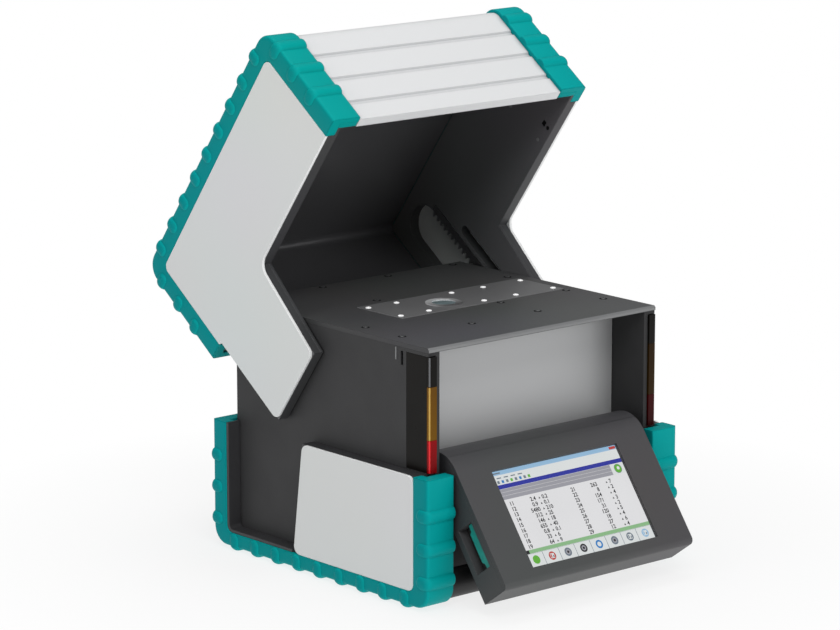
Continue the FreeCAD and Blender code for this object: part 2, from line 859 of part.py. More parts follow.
def window():
    """Polished window ring and the thin film that closes it."""
    ring = new_body("window_ring")
    drum(ring, "ring", "XY", [("window_x", "window_y", "ring_radius")], "chassis_top - ring_sunk", "ring_tall")
    drum(ring, "opening", "XY", [("window_x", "window_y", "window_radius")],
         "chassis_top - ring_sunk", "ring_tall", cut=True)
    stand_in_base(ring)
    film = new_body("window_film")
    half = "(ring_radius / sqrt(2) - seam)"
    outline = rectangle("window_x - " + half, "window_x + " + half, "window_y - " + half, "window_y + " + half)
    prism(film, "film", "XY", outline, "chassis_top - ring_sunk - film_thick", "film_thick")
    stand_in_base(film)


def six_sided(across, up, half):
    """The corners of a screw head drawn with six sides."""
    side = "%s / 2" % half
    flat = "%s * sqrt(3) / 2" % half
    return [
        ("%s - %s" % (across, half), up), ("%s - %s" % (across, side), "%s - %s" % (up, flat)),
        ("%s + %s" % (across, side), "%s - %s" % (up, flat)), ("%s + %s" % (across, half), up),
        ("%s + %s" % (across, side), "%s + %s" % (up, flat)),
        ("%s - %s" % (across, side), "%s + %s" % (up, flat)),
    ]


def screws():
    """Screw heads on the stage insert and on the top plate, drawn with few faces."""
    silver = new_body("stage_screws")
    columns = ("stage_inset - stage_left", "stage_second - stage_left", "stage_third - stage_left",
               "stage_fourth - stage_left", "stage_right - stage_inset")
    rows = ("stage_row_front - stage_front", "stage_back - stage_row_back")
    heads = [six_sided(x, y, "stage_head") for x in columns for y in rows]
    prisms(silver, "heads", "XY", heads, "chassis_top + stage_raise", "stage_head_tall")
    stand_in_base(silver)
    dark = new_body("plate_screws")
    left = "plate_screw_in - chassis_half"
    right = "chassis_half - plate_screw_in"
    spots = [(x, y) for x in (left, right) for y in ("-plate_row_front", "-plate_row_middle", "plate_row_rear")]
    spots += [("-plate_column", "-plate_row_front"), ("plate_column", "-plate_row_front"),
              ("-plate_column", "plate_row_rear"), ("plate_column", "plate_row_rear"),
              ("plate_column", "-plate_row_middle"), ("-plate_column", "stage_back + plate_row_gap"),
              (right, "stage_back + plate_row_gap")]
    heads = [six_sided(x, y, "plate_head") for x, y in spots]
    prisms(dark, "heads", "XY", heads, "chassis_top", "plate_head_tall")
    stand_in_base(dark)


def front_panel():
    """Brushed panel at the back of the recess that takes the folded tablet."""
    body = new_body("front_panel")
    half = "(chassis_half - lens_wide - column_wall - seam)"
    prism(body, "panel", "XZ", rectangle("-" + half, half, "lamp_low - sill_thick + seam", "under_top - seam"),
          "-recess_back - sheet", "sheet")
    stand_in_base(body)


def lamp_columns():
    """Folded front columns with a smoked side window, amber and red lamp lenses and a lamp board."""
    column = new_body("lamp_column")
    outer = "sheet - chassis_half"
    flange = "lens_wide - chassis_half"
    inner = flange + " + column_wall"
    web = inner + " - sheet"
    corners = [
        (flange, "column_front"), (inner, "column_front"), (inner, "recess_back"), (web, "recess_back"),
        (web, "lens_rear + sheet"), (outer, "lens_rear + sheet"), (outer, "lens_rear"),
        (web, "lens_rear"), (web, "column_front + sheet"), (flange, "column_front + sheet"),
    ]
    prism(column, "walls", "XY", corners, "lamp_low - sill_thick", "under_top - lamp_low + sill_thick")
    prism(column, "sill", "XY", rectangle(outer, inner, "-chassis_deep", "lens_rear"),
          "lamp_low - sill_thick", "sill_thick - seam")
    prism(column, "head", "XY", rectangle(outer, inner, "column_front", "lens_rear"),
          "lamp_high + seam", "under_top - lamp_high - seam")
    stand_in_base(column)
    pair(column, "lamp_columns")

    skin = "lens_thick - chassis_half"
    behind = "lens_front + lens_thick"
    wrap_end = "lens_front + lens_wrap"

    def lamp_lens(name, low, high):
        """A lens that wraps from the front round to the side."""
        body = new_body(name)
        corners = [
            ("-chassis_half", "lens_front"), (flange + " - lens_gap", "lens_front"),
            (flange + " - lens_gap", behind), (skin, behind), (skin, wrap_end), ("-chassis_half", wrap_end),
        ]
        shell = prism(body, "shell", "XY", corners, low, "%s - (%s)" % (high, low))
        round_corners(body, "corner", shell, "Z", "lens_thick", [("-chassis_half", "lens_front")])
        stand_in_base(body)
        return body

    top = lamp_lens("smoked_lens_top", "amber_high", "lamp_high")
    side = new_body("smoked_lens_side")
    corners = rectangle(wrap_end + " + lens_gap", "lens_rear - seam", "lamp_low", "lamp_high")
    prism(side, "window", "YZ", corners, "-chassis_half", "lens_thick")
    stand_in_base(side)
    both = group([top, side], "smoked_lens")
    pair(both, "smoked_lenses")
    pair(lamp_lens("amber_lens", "amber_low", "amber_high - lens_gap"), "amber_lenses")
    pair(lamp_lens("red_lens", "lamp_low", "amber_low - lens_gap"), "red_lenses")

    board = new_body("lamp_board")
    prism(board, "board", "YZ",
          rectangle("behind_lens", "lens_rear - seam / 2", "lamp_low + lens_thick", "lamp_high - lens_thick"),
          "lamp_board_in - chassis_half", "board_thick")
    stand_in_base(board)
    pair(board, "lamp_boards")


def shaft_bushes():
    """Bushes of the pinion shaft and the fixed guide pins, in the chassis walls."""
    bush = new_body("shaft_bush")
    start = "-chassis_half - bush_out"
    drum(bush, "barrel", "YZ", [("pivot_y", "pivot_z", "bush_radius - run_gap")], start, "bush_long")
    drum(bush, "bore", "YZ", [("pivot_y", "pivot_z", "shaft_radius + run_gap")], start, "bush_long", cut=True)
    stand_in_base(bush)
    pair(bush, "shaft_bushes")
    pin = new_body("guide_pin")
    drum(pin, "pin", "YZ", [("pivot_y - guide_y", "pivot_z - guide_z", "guide_radius")],
         "panel_thick + pin_gap - half_width",
         "half_width - panel_thick - pin_gap - chassis_half + sheet + pin_bite")
    stand_in_base(pin)
    pair(pin, "guide_pins")


def carrying_bar():
    """Round bar between the front posts, with a steel core held in two brackets."""
    grip = new_body("carrying_bar")
    start = "face_width + seam - half_width"
    length = "2 * (half_width - face_width - seam)"
    drum(grip, "grip", "YZ", [("bar_y", "bar_z", "bar_radius")], start, length)
    drum(grip, "bore", "YZ", [("bar_y", "bar_z", "bar_core + run_gap")], start, length, cut=True)
    stand_in_base(grip)
    core = new_body("bar_core")
    reach = "(chassis_half - sheet - bracket_deep)"
    drum(core, "core", "YZ", [("bar_y", "bar_z", "bar_core")], "-" + reach, "2 * " + reach)
    stand_in_base(core)
    bracket = new_body("bar_bracket")
    outline = rectangle("post_depth + seam - half_depth", "bar_y + bracket_behind",
                        "floor_low", "bar_z + bar_radius")
    prism(bracket, "block", "YZ", outline, "sheet - chassis_half",
          "chassis_half - sheet - half_width + face_width")
    drum(bracket, "bore", "YZ", [("bar_y", "bar_z", "bar_core + run_gap")],
         "-" + reach, reach + " - half_width + face_width", cut=True)
    stand_in_base(bracket)
    pair(bracket, "bar_brackets")


def tablet_brackets():
    """Arms on the chassis walls that hold the tablet's hinge pins."""
    wall = "(chassis_half - sheet)"
    arms = []
    pins = []
    for name, sign, edge in (("left", -1, "tablet_left"), ("right", 1, "tablet_right")):
        arm = new_body("tablet_arm_" + name)
        reach = "%s - %s - arm_gap" % (wall, edge)
        start = "-" + wall if sign < 0 else edge + " + arm_gap"
        outline = rectangle("-chassis_deep", "hinge_y + arm_reach", "hinge_z - arm_half", "hinge_z + arm_half")
        prism(arm, "arm", "YZ", outline, start, reach)
        bore = ("hinge_y", "hinge_z", "hinge_pin + run_gap / 2")
        drum(arm, "bore", "YZ", [bore], start, reach, cut=True)
        arms.append(stand_in_base(arm))
        pin = new_body("tablet_pin_" + name)
        length = "%s - %s + pin_in_tablet - pin_short" % (wall, edge)
        start = "pin_short - " + wall if sign < 0 else edge + " - pin_in_tablet"
        drum(pin, "pin", "YZ", [("hinge_y", "hinge_z", "hinge_pin")], start, length)
        pins.append(stand_in_base(pin))
    group(arms, "tablet_arms")
    group(pins, "tablet_pins")


# Lid

def lid_outline(extra, inset="0"):
    """The lid's side with its arm, grown at the border by extra and drawn in by inset."""
    front = "lid_front - (%s) + (%s)" % (extra, inset)
    rear = "lid_rear + (%s) - (%s)" % (extra, inset)
    top = "lid_top + (%s) - (%s)" % (extra, inset)
    arm_rear = "lid_rear - arm_back - (%s)" % inset
    return [
        (front, "lid_low"), ("lid_rear - arm_top + (%s)" % inset, "lid_low"),
        ("lid_rear - arm_low + (%s)" % inset, "arm_end"), (arm_rear, "arm_end"),
        (arm_rear, "lid_low"), (rear, "lid_low"), (rear, top), (front, top),
    ]


def lid_sides():
    """Dark side walls of the lid with the rack channel and the cranked guide slot."""
    body = new_body("lid_side_left")
    outline = lid_outline("0", "seam")
    core = prism(body, "core", "YZ", outline, "panel_thick + seam / 2 - half_width",
                 "half_width - lid_inner - panel_thick - seam / 2")
    round_corners(body, "top_corners", core, "X", "panel_round", [outline[6], outline[7]])
    prism(body, "flange", "YZ", lid_outline("liner_offset - seam"), "-lid_inner - lid_flange", "lid_flange")
    through = "half_width - lid_inner"
    start = "-half_width"
    # Rack channel, centred on the pivot's vertical line
    reach = "(pitch_radius + tooth_tip + channel_gap)"
    obround(body, "channel", "0", "-channel_over", "lift - channel_over", reach, start, through)
    outline = rectangle("-pitch_radius - rack_back - seam", "0",
                        "-rack_low_teeth * tooth_pitch", "lift - rack_short")
    prism(body, "rack_seat", "YZ", outline, start, through, cut=True)
    # Guide slot: a straight run for the lift, then an arc about the pivot for the tilt
    half = "(guide_radius + guide_gap)"
    obround(body, "straight_slot", "-guide_y", "-guide_z", "lift - guide_z", half, start, through)
    reach = "sqrt(guide_y * guide_y + guide_z * guide_z)"
    arc = new_sketch(body, "arc_slot_sketch", "XZ")
    arc.AttachmentOffset = FreeCAD.Placement(FreeCAD.Vector(), FreeCAD.Rotation(AXIS["X"], 1))
    bind(arc, "AttachmentOffset.Rotation.Angle", "lid_angle * 1deg / 2 - atan(guide_y / guide_z)")
    draw_outline(arc, rectangle(start, "-lid_inner", "-%s - %s" % (reach, half), "-%s + %s" % (reach, half)))
    slot = body.newObject("PartDesign::Groove", "arc_slot")
    slot.Profile = arc
    slot.ReferenceAxis = (origin_part(body, "X_Axis"), [""])
    slot.Midplane = True
    bind(slot, "Angle", "lid_angle")
    turned = ("-guide_y * cos(lid_angle) + guide_z * sin(lid_angle)",
              "-guide_y * sin(lid_angle) - guide_z * cos(lid_angle)")
    drum(body, "slot_end", "YZ", [turned + (half,)], start, through, cut=True)
    stand_in_lid(body)
    twin(body, "lid_side_right")


def lid_panels():
    """Light panels on the lid's sides, each in one piece with the panel of its arm."""
    body = new_body("lid_panel_left")
    outline = lid_outline("0", "seam")
    panel = prism(body, "panel", "YZ", outline, "-half_width", "panel_thick")
    panel = round_corners(body, "crook", panel, "X", "arm_crook", [outline[1]])
    panel = round_corners(body, "toes", panel, "X", "panel_round", [outline[2], outline[3]])
    round_corners(body, "top_corners", panel, "X", "panel_round", [outline[6], outline[7]])
    stand_in_lid(body)
    twin(body, "lid_panel_right")


def shell_outline(grown, end, thick):
    """Front, top and rear walls of one thickness, seen from the side, grown from the lid's border."""
    top = "(lid_top + %s)" % grown
    return channel_outline("(lid_front - %s)" % grown, "(lid_rear + %s)" % grown, top, end,
                           thick, "%s - %s" % (top, thick))


def round_shell(body, shell, grown, thick, radius):
    """Rounds the two bends of a shell outside and inside, and returns its last feature."""
    spots = [("lid_front - " + grown, "lid_top + " + grown), ("lid_rear + " + grown, "lid_top + " + grown)]
    shell = round_corners(body, "outer_bends", shell, "X", radius, spots)
    within = "(%s - %s)" % (grown, thick)
    spots = [("lid_front - " + within, "lid_top + " + within), ("lid_rear + " + within, "lid_top + " + within)]
    return round_corners(body, "inner_bends", shell, "X", "%s - %s" % (radius, thick), spots)


def lid_cover():
    """Light ribbed cover between the bumpers: top, front and rear in one shell with cross grooves."""
    body = new_body("lid_cover")
    grown = "(liner_offset + liner_thick + seam + cover_thick)"
    front = "(lid_front - %s)" % grown
    rear = "(lid_rear + %s)" % grown
    top = "(lid_top + %s)" % grown
    start = "face_width + seam - half_width"
    wide = "2 * (half_width - face_width - seam)"
    shell = prism(body, "shell", "YZ", shell_outline(grown, "lid_low", "cover_thick"), start, wide)
    round_shell(body, shell, grown, "cover_thick", "cover_round")
    prism(body, "front_hem", "YZ", rectangle(front, front + " + front_hem", "lid_low", "lid_low + cover_thick"),
          start, wide)

    def grooves(label, middle, face, sense, upright, count, backwards=False):
        """A row of shallow cross grooves in one face of the shell."""
        deep = "%s - %d * groove_deep" % (face, sense)
        out = "%s + %d * seam" % (face, sense)
        corners = [
            ("%s - groove_wide / 2" % middle, out), ("%s - groove_wide / 4" % middle, deep),
            ("%s + groove_wide / 4" % middle, deep), ("%s + groove_wide / 2" % middle, out),
        ]
        if upright:
            corners = swapped(corners)
        groove = prism(body, label, "YZ", corners, start, wide, cut=True)
        pattern(body, label + "s", [groove], "Z" if upright else "Y",
                "(%d - 1) * rib_pitch" % count, count, backwards)

    first = "(lid_front + lid_rear) / 2 - (%d - 1) / 2 * rib_pitch" % (WEB_RIBS - 1)
    grooves("top_groove", first, top, 1, False, WEB_RIBS - 1)
    first = "lid_top + border - rib_first - rib_pitch / 2"
    grooves("front_groove", first, front, -1, True, LEG_RIBS, True)
    grooves("rear_groove", first, rear, 1, True, LEG_RIBS, True)
    stand_in_lid(body)


def lid_liner():
    """Dark folded liner inside the lid: top, front and rear."""
    body = new_body("lid_liner")
    grown = "(liner_offset + liner_thick)"
    outline = shell_outline(grown, "(lid_low + cover_thick + seam)", "liner_thick")
    shell = prism(body, "liner", "YZ", outline, "lens_gap - lid_inner", "2 * (lid_inner - lens_gap)")
    round_shell(body, shell, grown, "liner_thick", "liner_round")
    stand_in_lid(body)


def lid_drive():
    """Racks in the lid's walls, pinions in mesh with them and the cross shaft that joins the pinions."""
    rack = new_body("rack")
    root = "-pitch_radius - tooth_root"
    tip = "tooth_tip - pitch_radius"
    start = "panel_thick + gear_gap - half_width"
    wide = "lid_wall - panel_thick - gear_gap - lens_gap"
    outline = rectangle("seam - pitch_radius - rack_back", root,
                        "seam - rack_low_teeth * tooth_pitch", "lift - rack_short - seam")
    prism(rack, "bar", "YZ", outline, start, wide)
    low = "tooth_pitch * (1 - rack_low_teeth)"
    corners = [
        (root + " - lens_gap", low + " - tooth_foot"), (tip, low + " - tooth_crest"),
        (tip, low + " + tooth_crest"), (root + " - lens_gap", low + " + tooth_foot"),
    ]
    tooth = prism(rack, "tooth", "YZ", corners, start, wide)
    pattern(rack, "teeth", [tooth], "Z", "(%d - 1) * tooth_pitch" % RACK_TEETH, RACK_TEETH)
    stand_in_lid(rack)
    pair(rack, "racks")

    pinion = new_body("pinion")
    drum(pinion, "disc", "YZ", [("0", "0", "pitch_radius - tooth_root")], start, wide)
    half_step = "180 / pinion_teeth"
    inner = "(pitch_radius - tooth_root - gear_gap)"
    outer = "(pitch_radius + tooth_tip)"

    def turned(along, across):
        """A point of the tooth, turned half a step from the rack's pitch point."""
        return ("-%s * cos(%s) - (%s) * sin(%s)" % (along, half_step, across, half_step),
                "-%s * sin(%s) + (%s) * cos(%s)" % (along, half_step, across, half_step))

    corners = [turned(inner, "-tooth_foot"), turned(outer, "-tooth_crest"),
               turned(outer, "tooth_crest"), turned(inner, "tooth_foot")]
    tooth = prism(pinion, "tooth", "YZ", corners, start, wide)
    ring = pinion.newObject("PartDesign::PolarPattern", "teeth")
    ring.Originals = [tooth]
    ring.Axis = (origin_part(pinion, "X_Axis"), [""])
    ring.Angle = 360
    bind(ring, "Occurrences", "pinion_teeth")
    pinion.Tip = ring
    drum(pinion, "bore", "YZ", [("0", "0", "shaft_radius + run_gap")], start, wide, cut=True)
    stand_in_lid(pinion)
    pair(pinion, "pinions")

    shaft = new_body("pinion_shaft")
    reach = "(half_width - panel_thick - gear_gap - seam)"
    drum(shaft, "shaft", "YZ", [("0", "0", "shaft_radius")], "-" + reach, "2 * " + reach)
    stand_in_lid(shaft)


# Tablet, in its own frame: origin on the hinge, upright, its screen towards -Y

def tablet_block(body, front, rear):
    """The part of the tablet's outer form that lies between two depths, with its large round top."""
    start = "-tablet_left"
    wide = "tablet_left + tablet_right"
    block = prism(body, "block", "YZ", rectangle("-tablet_front", "tablet_back", "-tablet_low", "tablet_front"),
                  start, wide)
    block = round_corners(body, "round_top", block, "X", "tablet_front - run_gap",
                          [("-tablet_front", "tablet_front")])
    round_corners(body, "round_foot", block, "X", "tablet_foot", [("-tablet_front", "-tablet_low")])
    for name, near, far in (("ahead", "-tablet_front", front), ("behind", rear, "tablet_back")):
        if near != far:
            prism(body, name, "YZ", rectangle(near, far, "-tablet_low", "tablet_front"), start, wide, cut=True)


def tablet():
    """Housing, bezel, glass, display, board, battery and ports of the tablet."""
    joint = "bezel_thick - tablet_front"
    face = "(tablet_front - bezel_thick)"
    bezel = new_body("tablet_bezel")
    tablet_block(bezel, "-tablet_front", joint)
    opening = rectangle("-screen_left", "screen_right", "-screen_low", "-screen_top")
    prism(bezel, "screen_opening", "XZ", opening, face, "bezel_thick", cut=True)
    stand_in_tablet(bezel)

    housing = new_body("tablet_housing")
    tablet_block(housing, joint + " + run_gap", "tablet_back")
    left = "port_cheek - tablet_left"
    right = "tablet_right - tablet_cheek"
    low = "bezel_thick - tablet_low"
    prism(housing, "cavity", "XZ", rectangle(left, right, low, "tablet_front - cavity_top"),
          "tablet_shell - tablet_back", face + " + tablet_back - tablet_shell", cut=True)
    prism(housing, "port_bay", "YZ", rectangle("-bay_front", "-bay_rear", "-bay_low", "-bay_high"),
          "-tablet_left", "bay_deep", cut=True)
    bore = [("0", "0", "hinge_pin + run_gap")]
    drum(housing, "left_hinge_bore", "YZ", bore, "-tablet_left", "tablet_cheek", cut=True)
    drum(housing, "right_hinge_bore", "YZ", bore, right, "tablet_cheek", cut=True)
    stand_in_tablet(housing)

    glass = new_body("tablet_glass")
    outline = rectangle("seam - screen_left", "screen_right - seam", "seam - screen_low", "-screen_top - seam")
    prism(glass, "glass", "XZ", outline, "tablet_front - glass_sunk - glass_thick", "glass_thick")
    stand_in_tablet(glass)
    display = new_body("tablet_display")
    outline = rectangle("-screen_left - display_lip", "screen_right + display_lip",
                        "-screen_low - display_lip", "display_lip - screen_top")
    prism(display, "display", "XZ", outline, face + " - display_thick - run_gap", "display_thick")
    stand_in_tablet(display)
    board = new_body("tablet_board")
    outline = rectangle(left + " + seam", right + " - seam", low + " + seam", "-board_top")
    prism(board, "board", "XZ", outline, "board_behind", "board_thick")
    stand_in_tablet(board)
    battery = new_body("tablet_battery")
    prism(battery, "battery", "XZ", rectangle("-cell_half", "cell_half", "-cell_low", "-cell_top"),
          "board_behind + board_thick + seam", "cell_thick")
    stand_in_tablet(battery)
    ports = new_body("tablet_ports")
    start = "bay_deep - port_thick - seam - tablet_left"
    outline = rectangle("seam - bay_front", "-bay_rear - seam", "seam - bay_low", "-bay_high - seam")
    prism(ports, "block", "YZ", outline, start, "port_thick")
    for label, low, tall in (("network", "network_low", "network_tall"), ("data", "data_low", "data_tall")):
        socket = rectangle("port_margin - bay_front", "-bay_rear - port_margin", "-" + low, "%s - %s" % (tall, low))
        prism(ports, label + "_socket", "YZ", socket, start, "port_deep", cut=True)
    stand_in_tablet(ports)


# What the housing holds inside

def beam_sketch(body, name, side, start):
    """A sketch across a slanted beam line, at a distance down from the window's centre."""
    sketch = new_sketch(body, name + "_sketch", "YZ")
    sketch.AttachmentOffset = FreeCAD.Placement(
        FreeCAD.Vector(), FreeCAD.Rotation(FreeCAD.Vector(1, 0, 0), 90 - 45 * side))
    bind(sketch, "AttachmentOffset.Base.x", "window_y")
    bind(sketch, "AttachmentOffset.Base.y", "chassis_top - (%s) * cos(45)" % start)
    bind(sketch, "AttachmentOffset.Base.z", "window_x + %d * (%s) * sin(45)" % (side, start))
    return sketch


def beam_drum(body, name, side, circles, start, length, cut=False):
    """A round feature along a slanted beam line, left (-1) or right (1) of the window.

    Distances run down from the window's centre, and circles lie across the line."""
    sketch = beam_sketch(body, name, side, start)
    for circle in circles:
        draw_circle(sketch, *circle)
    return extrude(body, name, sketch, length, cut)


def beam_cut(body, name, side, outlines, start, length):
    """A cut with straight edges along a slanted beam line."""
    sketch = beam_sketch(body, name, side, start)
    for corners in outlines:
        draw_outline(sketch, corners)
    return extrude(body, name, sketch, length, True)


def measuring_head():
    """Carrier block under the window with the x-ray tube, the detector and the filter wheel."""
    block = new_body("head_block")
    under = "(under_top - seam)"
    outline = rectangle("window_x - head_left", "window_x + head_right", "chassis_top - head_low", under)
    prism(block, "block", "XZ", outline, "-window_y - head_rear", "head_front + head_rear")
    drum(block, "beam_path", "XY", [("window_x", "window_y", "window_radius")],
         under + " - beam_deep", "beam_deep", cut=True)
    beam_drum(block, "tube_bore", -1, [("0", "0", "tube_nose + run_gap")], "bore_start", "tube_step", cut=True)
    beam_drum(block, "detector_bore", 1, [("0", "0", "detector_nose + run_gap")],
              "bore_start", "detector_step", cut=True)
    reach = "(wheel_radius + wheel_gap)"
    slot = rectangle("wheel_shift - " + reach, "wheel_shift + " + reach, "-" + reach, reach)
    beam_cut(block, "wheel_slot", -1, [slot], "wheel_start - wheel_gap", "wheel_thick + 2 * wheel_gap")
    beam_drum(block, "motor_bore", -1, [("wheel_shift", "0", "motor_radius + run_gap")],
              "wheel_start + wheel_thick", "motor_end", cut=True)
    stand_in_base(block)

    tube = new_body("xray_tube")
    beam_drum(tube, "nose", -1, [("0", "0", "tube_nose")], "tube_start", "tube_step - tube_start")
    beam_drum(tube, "body", -1, [("0", "0", "tube_body")], "tube_step", "tube_end - tube_step")
    stand_in_base(tube)
    detector = new_body("detector")
    beam_drum(detector, "nose", 1, [("0", "0", "detector_nose")], "detector_start",
              "detector_step - detector_start")
    beam_drum(detector, "body", 1, [("0", "0", "detector_body")], "detector_step",
              "detector_end - detector_step")
    stand_in_base(detector)

    wheel = new_body("filter_wheel")
    beam_drum(wheel, "disc", -1, [("wheel_shift", "0", "wheel_radius")], "wheel_start", "wheel_thick")
    holes = []
    for index in range(FILTERS):
        angle = "(360 / %d * %d)" % (FILTERS, index)
        holes.append(six_sided("wheel_shift - wheel_shift * cos%s" % angle, "wheel_shift * sin%s" % angle,
                               "filter_radius"))
    beam_cut(wheel, "filter_windows", -1, holes, "wheel_start", "wheel_thick")
    beam_drum(wheel, "shaft", -1, [("wheel_shift", "0", "wheel_shaft")], "wheel_start",
              "wheel_thick + wheel_shaft_long")
    stand_in_base(wheel)
    motor = new_body("filter_motor")
    start = "wheel_start + wheel_thick + motor_gap"
    beam_drum(motor, "case", -1, [("wheel_shift", "0", "motor_radius")], start, "motor_end - (%s)" % start)
    beam_drum(motor, "bore", -1, [("wheel_shift", "0", "wheel_shaft + run_gap")], start,
              "motor_bore_deep", cut=True)
    stand_in_base(motor)


def fan():
    """Axial fan behind the rear wall: frame with a spider, and its rotor."""
    rear = "(chassis_deep - sheet)"
    spider = "fan_deep - fan_arm_thick - " + rear
    frame = new_body("fan_frame")
    square = rectangle("fan_x - fan_half", "fan_x + fan_half", "fan_z - fan_half", "fan_z + fan_half")
    prism(frame, "frame", "XZ", square, "-" + rear, "fan_deep")
    drum(frame, "duct", "XZ", [("fan_x", "fan_z", "fan_duct")], "-" + rear, "fan_deep", cut=True)
    reach = "(fan_duct + seam)"
    bar = rectangle("fan_x - " + reach, "fan_x + " + reach, "fan_z - fan_arm", "fan_z + fan_arm")
    prism(frame, "spider_bar", "XZ", bar, spider, "fan_arm_thick")
    post = rectangle("fan_x - fan_arm", "fan_x + fan_arm", "fan_z - " + reach, "fan_z + " + reach)
    prism(frame, "spider_post", "XZ", post, spider, "fan_arm_thick")
    drum(frame, "boss", "XZ", [("fan_x", "fan_z", "fan_hub")], spider, "fan_arm_thick")
    drum(frame, "bore", "XZ", [("fan_x", "fan_z", "fan_shaft + run_gap")], spider, "fan_arm_thick", cut=True)
    stand_in_base(frame)

    rotor = new_body("fan_rotor")
    drum(rotor, "hub", "XZ", [("0", "0", "fan_hub")], "hub_in - " + rear, "hub_long")
    blade_outline = [
        (rear + " - blade_far", "-blade_rise"), (rear + " - blade_far + blade_thick", "-blade_rise"),
        (rear + " - blade_near", "blade_rise"), (rear + " - blade_near - blade_thick", "blade_rise"),
    ]
    blade = prism(rotor, "blade", "YZ", blade_outline, "fan_hub - blade_thick",
                  "fan_duct - fan_play - fan_hub + blade_thick")
    blades = rotor.newObject("PartDesign::PolarPattern", "blades")
    blades.Originals = [blade]
    blades.Axis = (origin_part(rotor, "Y_Axis"), [""])
    blades.Angle = 360
    blades.Occurrences = BLADES
    rotor.Tip = blades
    drum(rotor, "shaft", "XZ", [("0", "0", "fan_shaft")], "hub_in + hub_long - seam - " + rear,
         "fan_arm_thick + fan_play")
    bind(rotor, "Placement.Base.x", "fan_x")
    bind(rotor, "Placement.Base.z", "fan_z")
    stand_in_base(rotor)


def power_parts():
    """Power inlet and rocker switch in the rear wall."""
    inlet = new_body("power_inlet")
    prism(inlet, "body", "XZ", inlet_outline("seam"), "-chassis_deep", "inlet_deep")
    prism(inlet, "socket", "XZ", inlet_outline("inlet_wall"), "-chassis_deep", "socket_deep", cut=True)
    stand_in_base(inlet)
    switch = new_body("power_switch")
    prism(switch, "case", "XZ", switch_outline("seam"), "-chassis_deep", "switch_deep")
    prism(switch, "well", "XZ", switch_outline("switch_wall"), "-chassis_deep",
          "switch_deep - switch_wall", cut=True)
    drum(switch, "pivot_bore", "YZ", [("switch_y", "switch_z", "rocker_pin + run_gap")],
         "switch_x - switch_half + 2 * seam", "2 * switch_half - 4 * seam", cut=True)
    stand_in_base(switch)
    rocker = new_body("switch_rocker")
    outline = [
        ("-rocker_back", "-rocker_foot"), ("rocker_front", "-rocker_half"), ("rocker_front - rocker_dip", "0"),
        ("rocker_front", "rocker_half"), ("-rocker_back", "rocker_foot"),
    ]
    prism(rocker, "rocker", "YZ", outline, "switch_x - rocker_wide", "2 * rocker_wide")
    drum(rocker, "pivot", "YZ", [("0", "0", "rocker_pin")], "switch_x - switch_half + 3 * seam",
         "2 * switch_half - 6 * seam")
    hang_on(rocker, "switch_y", "switch_z", "switch_angle")


def inner_parts():
    """High-voltage supply, main board and battery pack."""
    floor_top = "floor_low + sheet"
    supply = new_body("voltage_supply")
    left = "sheet + supply_in - chassis_half"
    prism(supply, "case", "XY", rectangle(left, left + " + supply_wide", "-supply_front", "supply_rear"),
          floor_top, "supply_tall")
    stand_in_base(supply)
    battery = new_body("battery_pack")
    right = "chassis_half - sheet - battery_in"
    prism(battery, "case", "XY", rectangle(right + " - battery_wide", right, "-battery_front", "battery_rear"),
          floor_top, "battery_tall")
    stand_in_base(battery)
    board = new_body("main_board")
    wall = "chassis_half - sheet"
    prism(board, "board", "YZ", rectangle("-board_front", "board_rear", "board_low", "board_high"),
          wall + " - board_stand - board_thick", "board_thick")
    spacers = [
        rectangle(y + " - spacer_half", y + " + spacer_half", z + " - spacer_half", z + " + spacer_half")
        for y in ("2 * spacer_half - board_front", "board_rear - 2 * spacer_half")
        for z in ("board_low + 2 * spacer_half", "board_high - 2 * spacer_half")
    ]
    prisms(board, "spacers", "YZ", spacers, wall + " - board_stand", "board_stand - seam")
    stand_in_base(board)


base_bumpers()
base_panels()
side_mouldings()
chassis_sides()
chassis_floor()
rear_cover()
top_plate()
stage_insert()
window()
screws()
front_panel()
lamp_columns()
shaft_bushes()
carrying_bar()
tablet_brackets()
lid_bumpers()
lid_sides()
lid_panels()
lid_cover()
lid_liner()
lid_drive()
tablet()
measuring_head()
fan()
power_parts()
inner_parts()

doc.recompute()
for item in doc.Objects:
    if "Invalid" in item.State or "Error" in item.State:
        raise RuntimeError("%s is in state %s" % (item.Name, item.State))
for item in nodes:
    if item.Shape.isNull() or not item.Shape.isValid():
        raise RuntimeError("%s has no valid shape" % item.Label)

os.makedirs("parts", exist_ok=True)
for item in nodes:
    item.Shape.exportStep("parts/%s.step" % item.Label)
    print(item.Label, len(item.Shape.Solids), round(item.Shape.Volume / 1000, 1), "cm3")
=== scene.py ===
import json
import math

import bmesh
import bpy
from mathutils import Matrix, Vector


